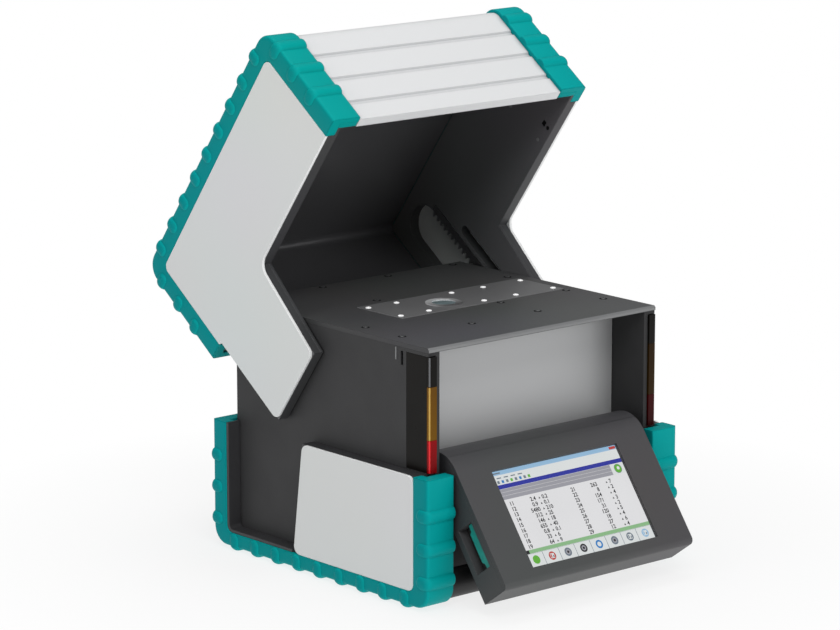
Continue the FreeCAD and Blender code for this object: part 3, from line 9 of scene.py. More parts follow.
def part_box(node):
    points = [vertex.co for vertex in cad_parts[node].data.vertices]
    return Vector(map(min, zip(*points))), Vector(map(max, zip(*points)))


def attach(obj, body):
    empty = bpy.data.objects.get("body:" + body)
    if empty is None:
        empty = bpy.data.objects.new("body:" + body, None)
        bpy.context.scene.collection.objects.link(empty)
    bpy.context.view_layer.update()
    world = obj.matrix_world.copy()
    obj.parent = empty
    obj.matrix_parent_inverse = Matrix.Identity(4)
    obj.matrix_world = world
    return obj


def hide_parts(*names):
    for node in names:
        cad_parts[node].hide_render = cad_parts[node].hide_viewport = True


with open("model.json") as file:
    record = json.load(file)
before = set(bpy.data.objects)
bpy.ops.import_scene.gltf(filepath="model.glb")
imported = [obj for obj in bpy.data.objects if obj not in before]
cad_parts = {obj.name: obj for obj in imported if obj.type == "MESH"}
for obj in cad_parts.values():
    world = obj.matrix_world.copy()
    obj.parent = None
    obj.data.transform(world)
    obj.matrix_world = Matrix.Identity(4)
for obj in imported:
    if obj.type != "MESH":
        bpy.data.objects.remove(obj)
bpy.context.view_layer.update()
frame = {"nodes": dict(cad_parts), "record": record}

MM = 0.001
nodes = frame["nodes"]
scene = bpy.context.scene


def box_of(node):
    """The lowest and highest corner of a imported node, in millimetres."""
    low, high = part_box(node)
    return low / MM, high / MM


# Material nodes

MIXED_COLOUR = 2


def rgb(red, green, blue):
    """A linear colour from screen values of 0 to 255."""
    def linear(value):
        value = value / 255
        return value / 12.92 if value <= 0.04045 else ((value + 0.055) / 1.055) ** 2.4
    return (linear(red), linear(green), linear(blue), 1.0)


def grey(value):
    """A neutral linear colour from a screen value of 0 to 255, a trace cooler than pure grey."""
    return rgb(value, value, value + 1)


def scaled(colour, factor):
    """A lighter or darker version of a colour."""
    return tuple(min(1.0, part * factor) for part in colour[:3]) + (1.0,)


def link(tree, source, output, target, socket):
    """Joins two sockets of a node tree."""
    tree.links.new(source.outputs[output], target.inputs[socket])


def new_material(name, colour):
    """A material with a node tree, and its shader."""
    material = bpy.data.materials.new(name)
    material.use_nodes = True
    material.diffuse_color = colour
    return material, material.node_tree, material.node_tree.nodes["Principled BSDF"]


def noise(tree, scale, detail, stretch=None):
    """A noise texture in the object's own coordinates, stretched along an axis if asked."""
    texture = tree.nodes.new("ShaderNodeTexNoise")
    texture.inputs["Scale"].default_value = scale
    texture.inputs["Detail"].default_value = detail
    coords = tree.nodes.new("ShaderNodeTexCoord")
    if stretch:
        mapping = tree.nodes.new("ShaderNodeMapping")
        mapping.inputs["Scale"].default_value = stretch
        link(tree, coords, "Object", mapping, "Vector")
        link(tree, mapping, "Vector", texture, "Vector")
    else:
        link(tree, coords, "Object", texture, "Vector")
    return texture


def ramp_of(tree, source, output, first, last, start=0.0, end=1.0):
    """A ramp between two colours, driven by a value."""
    ramp = tree.nodes.new("ShaderNodeValToRGB")
    for element, position, colour in zip(ramp.color_ramp.elements, (start, end), (first, last)):
        element.position = position
        element.color = colour
    link(tree, source, output, ramp, "Fac")
    return ramp


def range_of(tree, source, output, low, high, new_low=0.0, new_high=1.0):
    """A value mapped from one range onto another."""
    mapped = tree.nodes.new("ShaderNodeMapRange")
    for socket, value in (("From Min", low), ("From Max", high), ("To Min", new_low), ("To Max", new_high)):
        mapped.inputs[socket].default_value = value
    link(tree, source, output, mapped, "Value")
    return mapped


def axes_of(tree, output):
    """The X, Y and Z parts of an output of the texture coordinates."""
    coords = tree.nodes.new("ShaderNodeTexCoord")
    parts = tree.nodes.new("ShaderNodeSeparateXYZ")
    link(tree, coords, output, parts, "Vector")
    return parts


def math_of(tree, operation, *inputs):
    """An operation on one or two driven values, each a node with its output."""
    result = tree.nodes.new("ShaderNodeMath")
    result.operation = operation
    for index, (source, output) in enumerate(inputs):
        link(tree, source, output, result, index)
    return result


def mix_of(tree, blend, share, lower, upper):
    """Two driven colours, blended."""
    mix = tree.nodes.new("ShaderNodeMix")
    mix.data_type = "RGBA"
    mix.blend_type = blend
    mix.inputs["Factor"].default_value = share
    link(tree, lower, "Color", mix, "A")
    link(tree, upper, "Color", mix, "B")
    return mix


# Kinds of finish

def finish_of(name, colour, rough=0.5, metal=0.0, spread=0.06, patch=14.0, grain=900.0, bump=0.05,
              stretch=None, coat=0.0, round_edge=0.0, glow=0.0, specular=0.5, rough_spread=0.06):
    """A procedural finish: slow patches in the colour, fine grain in the gloss and the surface."""
    material, tree, shader = new_material(name, colour)
    patches = noise(tree, patch, 2.0, stretch)
    ramp = ramp_of(tree, patches, "Fac", scaled(colour, 1 - spread), scaled(colour, 1 + spread), 0.3, 0.7)
    link(tree, ramp, "Color", shader, "Base Color")
    fine = noise(tree, grain, 2.0, stretch)
    gloss = range_of(tree, fine, "Fac", 0.0, 1.0,
                     max(0.02, rough - rough_spread), min(1.0, rough + rough_spread))
    link(tree, gloss, "Result", shader, "Roughness")
    relief = tree.nodes.new("ShaderNodeBump")
    relief.inputs["Strength"].default_value = bump
    relief.inputs["Distance"].default_value = 0.4 * MM
    link(tree, fine, "Fac", relief, "Height")
    if round_edge:
        soft = tree.nodes.new("ShaderNodeBevel")
        soft.samples = 4
        soft.inputs["Radius"].default_value = round_edge * MM
        link(tree, soft, "Normal", relief, "Normal")
    link(tree, relief, "Normal", shader, "Normal")
    shader.inputs["Metallic"].default_value = metal
    shader.inputs["Specular IOR Level"].default_value = specular
    shader.inputs["Coat Weight"].default_value = coat
    shader.inputs["Coat Roughness"].default_value = 0.08
    # A glow lights the finish itself, without a lamp: painted light.
    if glow:
        link(tree, ramp, "Color", shader, "Emission Color")
        shader.inputs["Emission Strength"].default_value = glow
    return material


def shade_by_facing(material, sideways, others):
    """Paints light and shade by facing: the faces that look along X get one colour and all others another."""
    tree = material.node_tree
    size = math_of(tree, "ABSOLUTE", (axes_of(tree, "Normal"), "X"))
    ramp = ramp_of(tree, size, "Value", others, sideways, 0.5, 0.95)
    shade = mix_of(tree, "SOFT_LIGHT", 0.12, ramp, noise(tree, 5.0, 1.0))
    link(tree, shade, MIXED_COLOUR, tree.nodes["Principled BSDF"], "Base Color")
    return material


def painted_crease_shade(material, colour, crease, reach):
    """Paints shade where the surface folds inwards, within a reach in millimetres: a darker colour in
    creases.
    """
    tree = material.node_tree
    fold = tree.nodes.new("ShaderNodeAmbientOcclusion")
    fold.samples = 8
    fold.inputs["Distance"].default_value = reach * MM
    slight = range_of(tree, noise(tree, 6.0, 1.0), "Fac", 0.0, 1.0, 0.98, 1.02)
    product = math_of(tree, "MULTIPLY", (fold, "AO"), (slight, "Result"))
    ramp = ramp_of(tree, product, "Value", crease, colour, 0.72, 0.97)
    link(tree, ramp, "Color", tree.nodes["Principled BSDF"], "Base Color")
    return material


def lens_of(name, low, high, bottom, top, glow):
    """A glossy lens whose colour changes from its lower to its upper edge, with painted shade that darkens
    the right side and a faint glow of painted light.
    """
    material = finish_of(name, low, rough=0.25, grain=300.0, bump=0.01, coat=0.03, specular=0.08)
    tree = material.node_tree
    shader = tree.nodes["Principled BSDF"]
    parts = axes_of(tree, "Object")
    along = range_of(tree, parts, "Z", bottom * MM, top * MM)
    ramp = ramp_of(tree, along, "Result", low, high)
    # Painted shade: the colour gets darker towards the right side.
    across = range_of(tree, parts, "X", -100 * MM, 100 * MM)
    right_side_shade = ramp_of(tree, across, "Result", (1.0, 1.0, 1.0, 1.0), (0.16, 0.16, 0.16, 1.0))
    shade = mix_of(tree, "MULTIPLY", 1.0, ramp, right_side_shade)
    link(tree, shade, MIXED_COLOUR, shader, "Base Color")
    # A faint glow from the lens colour: painted light.
    link(tree, shade, MIXED_COLOUR, shader, "Emission Color")
    shader.inputs["Emission Strength"].default_value = glow
    return material


def metal_with_painted_shade(name, front, rear, front_colour, rear_colour):
    """A satin metal with painted light and shade: it gets lighter from a front to a rear place, in
    millimetres.
    """
    material = finish_of(name, rear_colour, rough=0.35, metal=0.2, grain=600.0, bump=0.02, round_edge=0.4)
    tree = material.node_tree
    along = range_of(tree, axes_of(tree, "Object"), "Y", front * MM, rear * MM)
    ramp = ramp_of(tree, along, "Result", front_colour, rear_colour)
    link(tree, ramp, "Color", tree.nodes["Principled BSDF"], "Base Color")
    return material


def glass_of(name):
    """Clear glass over the display that lets the picture through and still reflects."""
    material, tree, shader = new_material(name, (0.8, 0.85, 0.9, 0.2))
    gloss = range_of(tree, noise(tree, 60.0, 2.0), "Fac", 0.0, 1.0, 0.03, 0.07)
    link(tree, gloss, "Result", shader, "Roughness")
    shader.inputs["Base Color"].default_value = (0.3, 0.3, 0.3, 1.0)
    shader.inputs["Alpha"].default_value = 0.05
    return material


def lit(name, colour):
    """A lit part of the picture on a black base, with a faint unevenness."""
    material, tree, shader = new_material(name, colour)
    ramp = ramp_of(tree, noise(tree, 30.0, 1.0), "Fac", scaled(colour, 0.97), scaled(colour, 1.03))
    link(tree, ramp, "Color", shader, "Emission Color")
    shader.inputs["Emission Strength"].default_value = 0.95
    shader.inputs["Base Color"].default_value = (0.0, 0.0, 0.0, 1.0)
    shader.inputs["Roughness"].default_value = 0.6
    shader.inputs["Specular IOR Level"].default_value = 0.1
    return material


# Finishes, one for each slot of the record, then those of single pieces

TEAL = rgb(0, 157, 156)
finishes = {
    # The teal rubber's faces along X are painted darker than its other faces: painted shade.
    "bumper_teal": shade_by_facing(
        finish_of("teal rubber", TEAL, rough=0.5, spread=0.04, grain=1400.0, bump=0.06,
                  specular=0.05, rough_spread=0.07, round_edge=2.2),
        rgb(0, 129, 131), TEAL),
    # The light panel's faces other than those along X are painted much lighter: painted light.
    "panel_light": shade_by_facing(
        finish_of("light panel", rgb(203, 204, 205), rough=0.5, spread=0.012, patch=6.0,
                  grain=1600.0, bump=0.03, round_edge=0.6, specular=0.3),
        rgb(201, 203, 203), rgb(248, 249, 249)),
    # The white cover gets painted shade in its grooves and folds.
    "cover_white": painted_crease_shade(
        finish_of("white cover", rgb(222, 224, 225), rough=0.45, spread=0.012, patch=6.0,
                  grain=1500.0, bump=0.03, round_edge=1.2, specular=0.3),
        rgb(223, 224, 225), rgb(190, 191, 193), 7.0),
    "moulding_dark": finish_of("dark moulding", rgb(52, 52, 54), rough=0.55, spread=0.08, patch=30.0,
                               grain=1200.0, bump=0.18, round_edge=1.2),
    "sheet_dark": finish_of("painted sheet", grey(48), rough=0.6, specular=0.3, spread=0.06, patch=40.0,
                            grain=1100.0, bump=0.22, round_edge=0.6),
    # The plate's faces along X are painted darker than its other faces: painted shade.
    "plate_dark": shade_by_facing(
        finish_of("painted plate", grey(80), rough=0.5, specular=0.4, spread=0.07, patch=60.0,
                  grain=1100.0, bump=0.25, round_edge=0.5),
        grey(50), grey(81)),
    "liner_dark": finish_of("satin liner", rgb(92, 92, 94), rough=0.32, spread=0.06, patch=9.0,
                            grain=900.0, bump=0.05, metal=0.3, round_edge=1.0),
    "panel_brushed": finish_of("brushed panel", rgb(184, 185, 186), rough=0.45, spread=0.03, patch=4.0,
                               grain=700.0, bump=0.03, metal=0.25, stretch=(1.0, 1.0, 5.0),
                               round_edge=0.5),
    "steel": finish_of("turned steel", rgb(170, 171, 173), rough=0.3, metal=1.0, spread=0.08,
                       round_edge=0.4),
    "screw_silver": finish_of("polished steel", rgb(236, 237, 238), rough=0.4, metal=0.35, spread=0.03,
                              round_edge=0.3),
    "screw_dark": finish_of("blackened steel", rgb(38, 38, 40), rough=0.35, metal=0.6, spread=0.1,
                            round_edge=0.3),
    "brass": finish_of("brass", rgb(190, 160, 95), rough=0.3, metal=1.0, spread=0.08),
    "film": finish_of("thin film", rgb(150, 170, 174), rough=0.22, metal=0.1, spread=0.2, patch=90.0,
                      coat=0.6),
    "lens_smoked": finish_of("smoked lens", rgb(14, 12, 10), rough=0.3, spread=0.2, patch=30.0,
                             grain=300.0, bump=0.01, specular=0.1),
    # The amber and red lenses carry a faint painted glow and painted shade on their right side.
    "lens_amber": lens_of("amber lens", rgb(110, 75, 5), rgb(97, 64, 7), 146.0, 192.0, 0.04),
    "lens_red": lens_of("red lens", rgb(120, 0, 4), rgb(134, 0, 7), 117.6, 146.0, 0.06),
    "board": finish_of("circuit board", rgb(22, 92, 78), rough=0.4, spread=0.25, patch=160.0),
    "bar_black": finish_of("soft grip", grey(24), rough=0.5, spread=0.1, grain=1200.0, bump=0.2,
                           round_edge=1.0),
    # The tablet case's faces along X are painted darker than its other faces: painted shade.
    "tablet_dark": shade_by_facing(
        finish_of("tablet case", rgb(74, 74, 76), rough=0.5, specular=0.35, spread=0.05, patch=20.0,
                  grain=1700.0, bump=0.1, round_edge=0.9),
        rgb(52, 52, 54), rgb(74, 74, 76)),
    "screen_glass": glass_of("screen glass"),
    "screen": finish_of("display back", rgb(120, 124, 126), rough=0.4, spread=0.05),
    "black_plastic": finish_of("black plastic", grey(26), rough=0.45, spread=0.12, round_edge=0.5),
    "block_grey": finish_of("machined block", rgb(150, 152, 154), rough=0.35, metal=0.9, spread=0.06),
    "tube_metal": finish_of("tube metal", rgb(170, 150, 105), rough=0.3, metal=1.0, spread=0.08),
    "battery_wrap": finish_of("battery wrap", rgb(34, 44, 84), rough=0.4, spread=0.1),
}
# The lid wall's faces along X are painted lighter than its other faces: painted light.
inner_wall = shade_by_facing(
    finish_of("lid wall", rgb(60, 60, 62), rough=0.5, specular=0.35, grain=1200.0, bump=0.18,
              round_edge=1.2),
    rgb(94, 94, 96), rgb(66, 66, 68))
insert_paint = finish_of("insert paint", grey(128), rough=0.45, metal=0.15, grain=1100.0, bump=0.15,
                         round_edge=0.5)
# The stage screws' white finish glows a little: a painted highlight.
painted_glow_screw_white = finish_of("screw white", rgb(248, 248, 248), rough=0.4, spread=0.02, glow=0.4)
screw_grey = finish_of("screw grey", rgb(112, 113, 114), rough=0.35, metal=0.7, spread=0.1)
# Black for the lid catches, and for the rings of painted shade round the dark screws.
black_and_recess_shade = finish_of("black and recess shade", grey(16), rough=0.6, specular=0.1)
line_metal = finish_of("line metal", rgb(142, 143, 144), rough=0.4, metal=0.4, spread=0.05)
hem_metal = finish_of("hem metal", rgb(124, 125, 126), rough=0.45, metal=0.2, spread=0.04)
board_green = finish_of("port board green", rgb(18, 122, 112), rough=0.4, spread=0.15, patch=120.0)

# The window ring is painted dark at its front and light at its rear: painted light and shade.
ring_low, ring_high = box_of("window_ring")
RING_RIM = 4.0
ring_metal_painted_shade = metal_with_painted_shade("ring metal", ring_low.y + RING_RIM, ring_high.y - RING_RIM,
                          grey(112), rgb(238, 239, 240))


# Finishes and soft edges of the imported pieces

SPECIAL = {
    "lid_side_left": inner_wall, "lid_side_right": inner_wall,
    "stage_insert": insert_paint, "window_ring": ring_metal_painted_shade,
}
SOFT_WIDTH = {
    "base_panel_left": 0.5, "base_panel_right": 0.5, "lid_panel_left": 0.5, "lid_panel_right": 0.5,
    "side_moulding_left": 0.9, "side_moulding_right": 0.9,
}


def soften(piece, width):
    """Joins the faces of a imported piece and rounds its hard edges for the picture."""
    weld = piece.modifiers.new("weld", "WELD")
    weld.merge_threshold = 0.02 * MM
    flat = piece.modifiers.new("flat", "DECIMATE")
    flat.decimate_type = "DISSOLVE"
    flat.angle_limit = math.radians(0.4)
    edge = piece.modifiers.new("edge", "BEVEL")
    edge.width = width * MM
    edge.segments = 3
    edge.limit_method = "ANGLE"
    edge.angle_limit = math.radians(20)
    edge.use_clamp_overlap = True
    edge.harden_normals = False
    even = piece.modifiers.new("even", "WEIGHTED_NORMAL")
    even.keep_sharp = False
    even.weight = 90


slot_of = {piece["node"]: piece["material_slot"] for piece in frame["record"]["subparts"]}
for name, piece in nodes.items():
    piece.data.materials.clear()
    piece.data.materials.append(SPECIAL.get(name, finishes[slot_of[name]]))
    if name in SOFT_WIDTH:
        soften(piece, SOFT_WIDTH[name])


# Making pieces

UNMOVED = Matrix()


def new_piece(name, mesh, slot, body, smooth_angle=None, material=None, closed=False):
    """An object from a mesh in the object's frame, riding one body."""
    if closed:
        bmesh.ops.recalc_face_normals(mesh, faces=mesh.faces)
    data = bpy.data.meshes.new(name)
    mesh.to_mesh(data)
    mesh.free()
    item = bpy.data.objects.new(name, data)
    scene.collection.objects.link(item)
    data.materials.append(material or finishes[slot])
    if smooth_angle:
        for polygon in data.polygons:
            polygon.use_smooth = True
        data.set_sharp_from_angle(angle=math.radians(smooth_angle))
    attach(item, body)
    return item


def bridge(mesh, lower, upper):
    """Faces between two closed rings of vertices."""
    count = len(lower)
    for index in range(count):
        after = (index + 1) % count
        mesh.faces.new((lower[index], lower[after], upper[after], upper[index]))


def loft(mesh, rings, capped=True):
    """A skin through rings of vertices, closed at both ends if asked."""
    for lower, upper in zip(rings, rings[1:]):
        bridge(mesh, lower, upper)
    if capped:
        mesh.faces.new(list(reversed(rings[0])))
        mesh.faces.new(rings[-1])


def loft_piece(name, sections, slot, body, angle=35, material=None, to_object=UNMOVED):
    """A closed piece through sections, each a list of points in millimetres."""
    mesh = bmesh.new()
    rings = []
    for section in sections:
        rings.append([mesh.verts.new(to_object @ (Vector(point) * MM)) for point in section])
    loft(mesh, rings)
    return new_piece(name, mesh, slot, body, angle, material, closed=True)


def flat_circle(mesh, x, y, z, radius, count):
    """Vertices on a circle that lies flat, in millimetres."""
    made = []
    for index in range(count):
        angle = 2 * math.pi * index / count
        point = Vector((x + radius * math.cos(angle), y + radius * math.sin(angle), z))
        made.append(mesh.verts.new(point * MM))
    return made


# Screws of the stage

STAGE_SCREW_RADIUS = 2.5
STAGE_SOCKET = 0.26
PLATE_SCREW_RADIUS = 2.2
PLATE_SOCKET = 0.5
HEAD_TALL = 0.8
HEAD_SIDES = 24
# Sizes of the flat black rings of painted shade round the dark screws.
SHADE_RING_RADIUS = 3.7
SHADE_RING_TALL = 0.12
SHADE_RING_SIDES = 28


def screw_head(mesh, x, y, z, radius, socket):
    """A button head with a six-sided recess of a given share of its radius, added to a mesh."""
    rings = []
    for rise, share in ((0.0, 1.0), (0.45, 1.0), (0.85, 0.86), (1.0, 0.66)):
        rings.append(flat_circle(mesh, x, y, z + HEAD_TALL * rise, radius * share, HEAD_SIDES))
    corners = []
    for index in range(HEAD_SIDES):
        angle = 2 * math.pi * index / HEAD_SIDES
        sector = (angle % (math.pi / 3)) - math.pi / 6
        reach = radius * socket * math.cos(math.pi / 6) / math.cos(sector)
        corners.append((x + reach * math.cos(angle), y + reach * math.sin(angle)))
    for height in (HEAD_TALL, HEAD_TALL * 0.25):
        rings.append([mesh.verts.new(Vector((a, b, z + height)) * MM) for a, b in corners])
    loft(mesh, rings)


def screws(name, node, slot, spots, z, radius, socket, material):
    """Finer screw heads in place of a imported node."""
    mesh = bmesh.new()
    for x, y in spots:
        screw_head(mesh, x, y, z, radius, socket)
    item = new_piece(name, mesh, slot, "base", 35, material)
    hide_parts(node)
    return item


def solid_centres(node):
    """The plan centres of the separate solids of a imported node, in millimetres."""
    mesh = bmesh.new()
    mesh.from_mesh(nodes[node].data)
    bmesh.ops.remove_doubles(mesh, verts=mesh.verts, dist=0.02 * MM)
    left = set(mesh.verts)
    centres = []
    while left:
        stack = [left.pop()]
        island = []
        while stack:
            vertex = stack.pop()
            island.append(vertex)
            for edge in vertex.link_edges:
                other = edge.other_vert(vertex)
                if other in left:
                    left.remove(other)
                    stack.append(other)
        xs = [vertex.co.x / MM for vertex in island]
        ys = [vertex.co.y / MM for vertex in island]
        centres.append(((min(xs) + max(xs)) / 2, (min(ys) + max(ys)) / 2))
    mesh.free()
    return centres


plate_low, plate_high = box_of("top_plate")
insert_low, insert_high = box_of("stage_insert")
screws("stage_screw_heads", "stage_screws", "screw_silver", solid_centres("stage_screws"), insert_high.z,
       STAGE_SCREW_RADIUS, STAGE_SOCKET, painted_glow_screw_white)
dark_spots = solid_centres("plate_screws")
screws("plate_screw_heads", "plate_screws", "screw_dark", dark_spots, plate_high.z,
       PLATE_SCREW_RADIUS, PLATE_SOCKET, screw_grey)

# A flat black ring round each dark screw stands in for the shade in the screw's recess: painted shade.
recess_shade_rings = bmesh.new()
for x, y in dark_spots:
    shade_ring = []
    for rise, radius in ((0.0, SHADE_RING_RADIUS), (SHADE_RING_TALL, SHADE_RING_RADIUS - SHADE_RING_TALL),
                         (SHADE_RING_TALL, PLATE_SCREW_RADIUS), (0.0, PLATE_SCREW_RADIUS)):
        shade_ring.append(flat_circle(recess_shade_rings, x, y, plate_high.z + rise, radius, SHADE_RING_SIDES))
    loft(recess_shade_rings, shade_ring, capped=False)
new_piece("screw_recess_shades", recess_shade_rings, "screw_dark", "base", 35, black_and_recess_shade)


# Film of the window, close under the ring's edge

FILM_SIDES = 40
FILM_RINGS = ((11.2, 0.75), (9.0, 0.45), (6.0, 0.25), (3.0, 0.15))

film = bmesh.new()
film_rings = []
for radius, depth in FILM_RINGS:
    film_rings.append(flat_circle(film, (ring_low.x + ring_high.x) / 2, (ring_low.y + ring_high.y) / 2,
                                  ring_high.z - depth, radius, FILM_SIDES))
loft(film, film_rings, capped=False)
film.faces.new(film_rings[-1])
film_piece = new_piece("stretched_film", film, "film", "base", 60)
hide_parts("window_film")


# Light line round the stage insert

LINE_WIDE = 0.7
LINE_TALL = 0.06
LINE_SLOPE = 0.1
LINE_SECTION = ((0.0, 0.0), (LINE_SLOPE, LINE_TALL), (LINE_WIDE - LINE_SLOPE, LINE_TALL), (LINE_WIDE, 0.0))

line = bmesh.new()
loops = []
for inset, rise in LINE_SECTION:
    near_x, far_x = insert_low.x + inset, insert_high.x - inset
    near_y, far_y = insert_low.y + inset, insert_high.y - inset
    loops.append([line.verts.new(Vector((x, y, insert_high.z + rise)) * MM)
                  for x, y in ((near_x, near_y), (far_x, near_y), (far_x, far_y), (near_x, far_y))])
loft(line, loops, capped=False)
new_piece("insert_edge", line, "plate_dark", "base", None, line_metal)


# Ribbed bumpers with soft edges

base_low, base_high = box_of("base_bumper_left")
RIB_HEIGHT = 3.0
HALF_WIDTH = -base_low.x - RIB_HEIGHT
HALF_DEPTH = (base_high.y - base_low.y) / 2 - RIB_HEIGHT
MIDDLE_Y = (base_low.y + base_high.y) / 2
FACE_WIDTH = base_high.x + HALF_WIDTH
BUMPER_SIDE = 10.0
BORDER = 18.3
WEB_BORDER = 13.0
LEG_DEPTH = 12.0
WEB_DEPTH = 8.0
EDGE_ROUND = 3.4
CORNER_ROUND = 16.0
INNER_ROUND = 7.0
ARC_STEPS = 10
RIB_PITCH = 29.0
RIB_FIRST = 23.5
RIB_HALF = 5.6
RIB_REACH = 13.0
RIB_RUN_OUT = 5.0
RIB_SUNK = 1.0
RIB_START_SUNK = 0.8
RIB_SHAPE = 1.3
RIB_BEND = EDGE_ROUND + 1.2
RIB_STEPS = 12
WEB_RIBS = 9
LEG_RIBS = 3


def bumper_profile(side, leg_border, web_border, leg_depth, web_depth):
    """The corners of a bumper's section: place across, then how far in from the legs' and the web's faces."""
    profile = []
    for index in range(7):
        angle = math.pi / 2 * index / 6
        across = side + EDGE_ROUND * (1 - math.cos(angle))
        inset = EDGE_ROUND * (1 - math.sin(angle))
        profile.append((across, inset, inset))
    far = side + FACE_WIDTH
    within = side + BUMPER_SIDE
    profile += [
        (far - 1.0, 0.0, 0.0), (far - 0.3, 0.3, 0.3), (far, 1.0, 1.0), (far, leg_depth, web_depth),
        (within, leg_depth, web_depth), (within, leg_border, web_border),
        (side + 0.8, leg_border, web_border), (side + 0.2, leg_border - 0.2, web_border - 0.2),
        (side, leg_border - 0.8, web_border - 0.8),
    ]
    return profile


def channel_path(front, rear, face, end, outward, leg_inset, web_inset, radius):
    """The way round a channel at some depth under its faces: up one leg, along the web, down the other."""
    web = face - outward * web_inset
    near = front + leg_inset
    far = rear - leg_inset
    path = [(near, end)]
    for index in range(ARC_STEPS + 1):
        angle = math.pi / 2 * index / ARC_STEPS
        path.append((near + radius * (1 - math.cos(angle)), web - outward * radius * (1 - math.sin(angle))))
    for index in range(ARC_STEPS + 1):
        angle = math.pi / 2 * (1 - index / ARC_STEPS)
        path.append((far - radius * (1 - math.cos(angle)), web - outward * radius * (1 - math.sin(angle))))
    path.append((far, end))
    return path


def rib_stations():
    """Places along a rib: across, out, the way it faces, and its share of the full size."""
    stations = []
    for index in range(6):
        share = index / 5
        stations.append((0.0, share * RIB_RUN_OUT - RIB_REACH, math.pi, math.sqrt(1 - (1 - share) ** 2)))
    for index in range(1, 8):
        angle = math.pi / 2 * index / 8
        stations.append((RIB_BEND * (1 - math.cos(angle)), -RIB_BEND * (1 - math.sin(angle)),
                         math.pi - angle, 1.0))
    for across, size in ((RIB_BEND, 1.0), (FACE_WIDTH - 1.4, 1.0), (FACE_WIDTH - 0.4, 0.9),
                         (FACE_WIDTH, 0.75)):
        stations.append((across, 0.0, math.pi / 2, size))
    return stations


def rib(mesh, mirror, to_object, place, along):
    """One soft rib that starts on the side face, turns round the edge and crosses the outer face.

    place gives the point for (distance across, distance out, distance along the bumper)."""
    rows = []
    for across, out, angle, size in rib_stations():
        row = []
        for index in range(RIB_STEPS + 1):
            lean = math.pi * index / RIB_STEPS
            lateral = -math.cos(lean) * RIB_HALF * max(size, 0.35)
            sunk = RIB_SUNK if index in (0, RIB_STEPS) else 0.0
            rise = (math.sin(lean) ** RIB_SHAPE) * RIB_HEIGHT * size - sunk
            rise = rise if size > 0.05 else -RIB_START_SUNK
            point = place(across + rise * math.cos(angle), out + rise * math.sin(angle), along + lateral)
            row.append(mesh.verts.new(to_object @ (Vector((mirror * point[0], point[1], point[2])) * MM)))
        rows.append(row)
    for lower, upper in zip(rows, rows[1:]):
        for index in range(RIB_STEPS):
            mesh.faces.new((lower[index], lower[index + 1], upper[index + 1], upper[index]))
    mesh.faces.new(rows[-1])


def soft_bumper(name, node, body, to_object, mirror, front, rear, face, end, outward, borders, depths):
    """A bumper with rounded edges and soft ribs in place of a packed one."""
    mesh = bmesh.new()
    side = -HALF_WIDTH
    loops = []
    for across, leg_inset, web_inset in bumper_profile(side, *borders, *depths):
        share = min(1.0, leg_inset / borders[0])
        radius = CORNER_ROUND + share * (INNER_ROUND - CORNER_ROUND)
        path = channel_path(front, rear, face, end, outward, leg_inset, web_inset, radius)
        loops.append([mesh.verts.new(to_object @ (Vector((mirror * across, y, z)) * MM)) for y, z in path])
    for one, two in zip(loops, loops[1:] + loops[:1]):
        for step in range(len(one) - 1):
            mesh.faces.new((one[step], one[step + 1], two[step + 1], two[step]))
    mesh.faces.new([loop[0] for loop in loops])
    mesh.faces.new([loop[-1] for loop in reversed(loops)])
    for index in range(WEB_RIBS):
        rib(mesh, mirror, to_object,
            lambda across, out, along: (side + across, along, face + outward * out),
            (front + rear) / 2 + (index - WEB_RIBS // 2) * RIB_PITCH)
    for index in range(LEG_RIBS):
        height = face - outward * (RIB_FIRST + index * RIB_PITCH)
        rib(mesh, mirror, to_object, lambda across, out, along: (side + across, front - out, along), height)
        rib(mesh, mirror, to_object, lambda across, out, along: (side + across, rear + out, along), height)
    item = new_piece(name, mesh, "bumper_teal", body, 50, closed=True)
    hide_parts(node)
    return item


# The lid's own pieces are placed level, about its pivot, and tilted with it

motions = {joint["name"]: joint for joint in frame["record"]["behaviour"]["joints"]}
PIVOT = Vector(motions["lid_tilt"]["pos_m"])
TILT = math.radians(motions["lid_tilt"]["range_deg"][1])
to_lid = Matrix.Translation(PIVOT) @ Matrix.Rotation(-TILT, 4, "X")
to_base = Matrix.Translation((0, MIDDLE_Y * MM, 0))
LID_REAR = MIDDLE_Y + HALF_DEPTH - PIVOT.y / MM
LID_FRONT = LID_REAR - 2 * HALF_DEPTH
LID_LOW = 23.1
LID_TOP = 139.6
SKIN = 5.7
FOOT_DEPTH = 11.0
FOOT_TALL = 13.0
FOOT_DROP = 0.04


def bumper_foot(name, mirror):
    """The thick front end of a lid bumper, inside the angle of its two flanges."""
    near = LID_FRONT + SKIN - 0.6
    far = LID_FRONT + FOOT_DEPTH
    low = LID_LOW - FOOT_DROP
    top = LID_LOW + FOOT_TALL
    outline = ((near, low), (far - 1.2, low), (far - 0.3, LID_LOW + 0.3), (far, LID_LOW + 1.2),
               (far, top - 2.0), (far - 1.0, top - 0.6), (near, top))
    sections = []
    for across, inset in ((BUMPER_SIDE - 0.5, 0.0), (FACE_WIDTH - 0.8, 0.0), (FACE_WIDTH - 0.1, 0.7)):
        sections.append([(mirror * (across - HALF_WIDTH), min(y, far - inset), max(z, low + inset))
                         for y, z in outline])
    return loft_piece(name, sections, "bumper_teal", "lid", 40, to_object=to_lid)


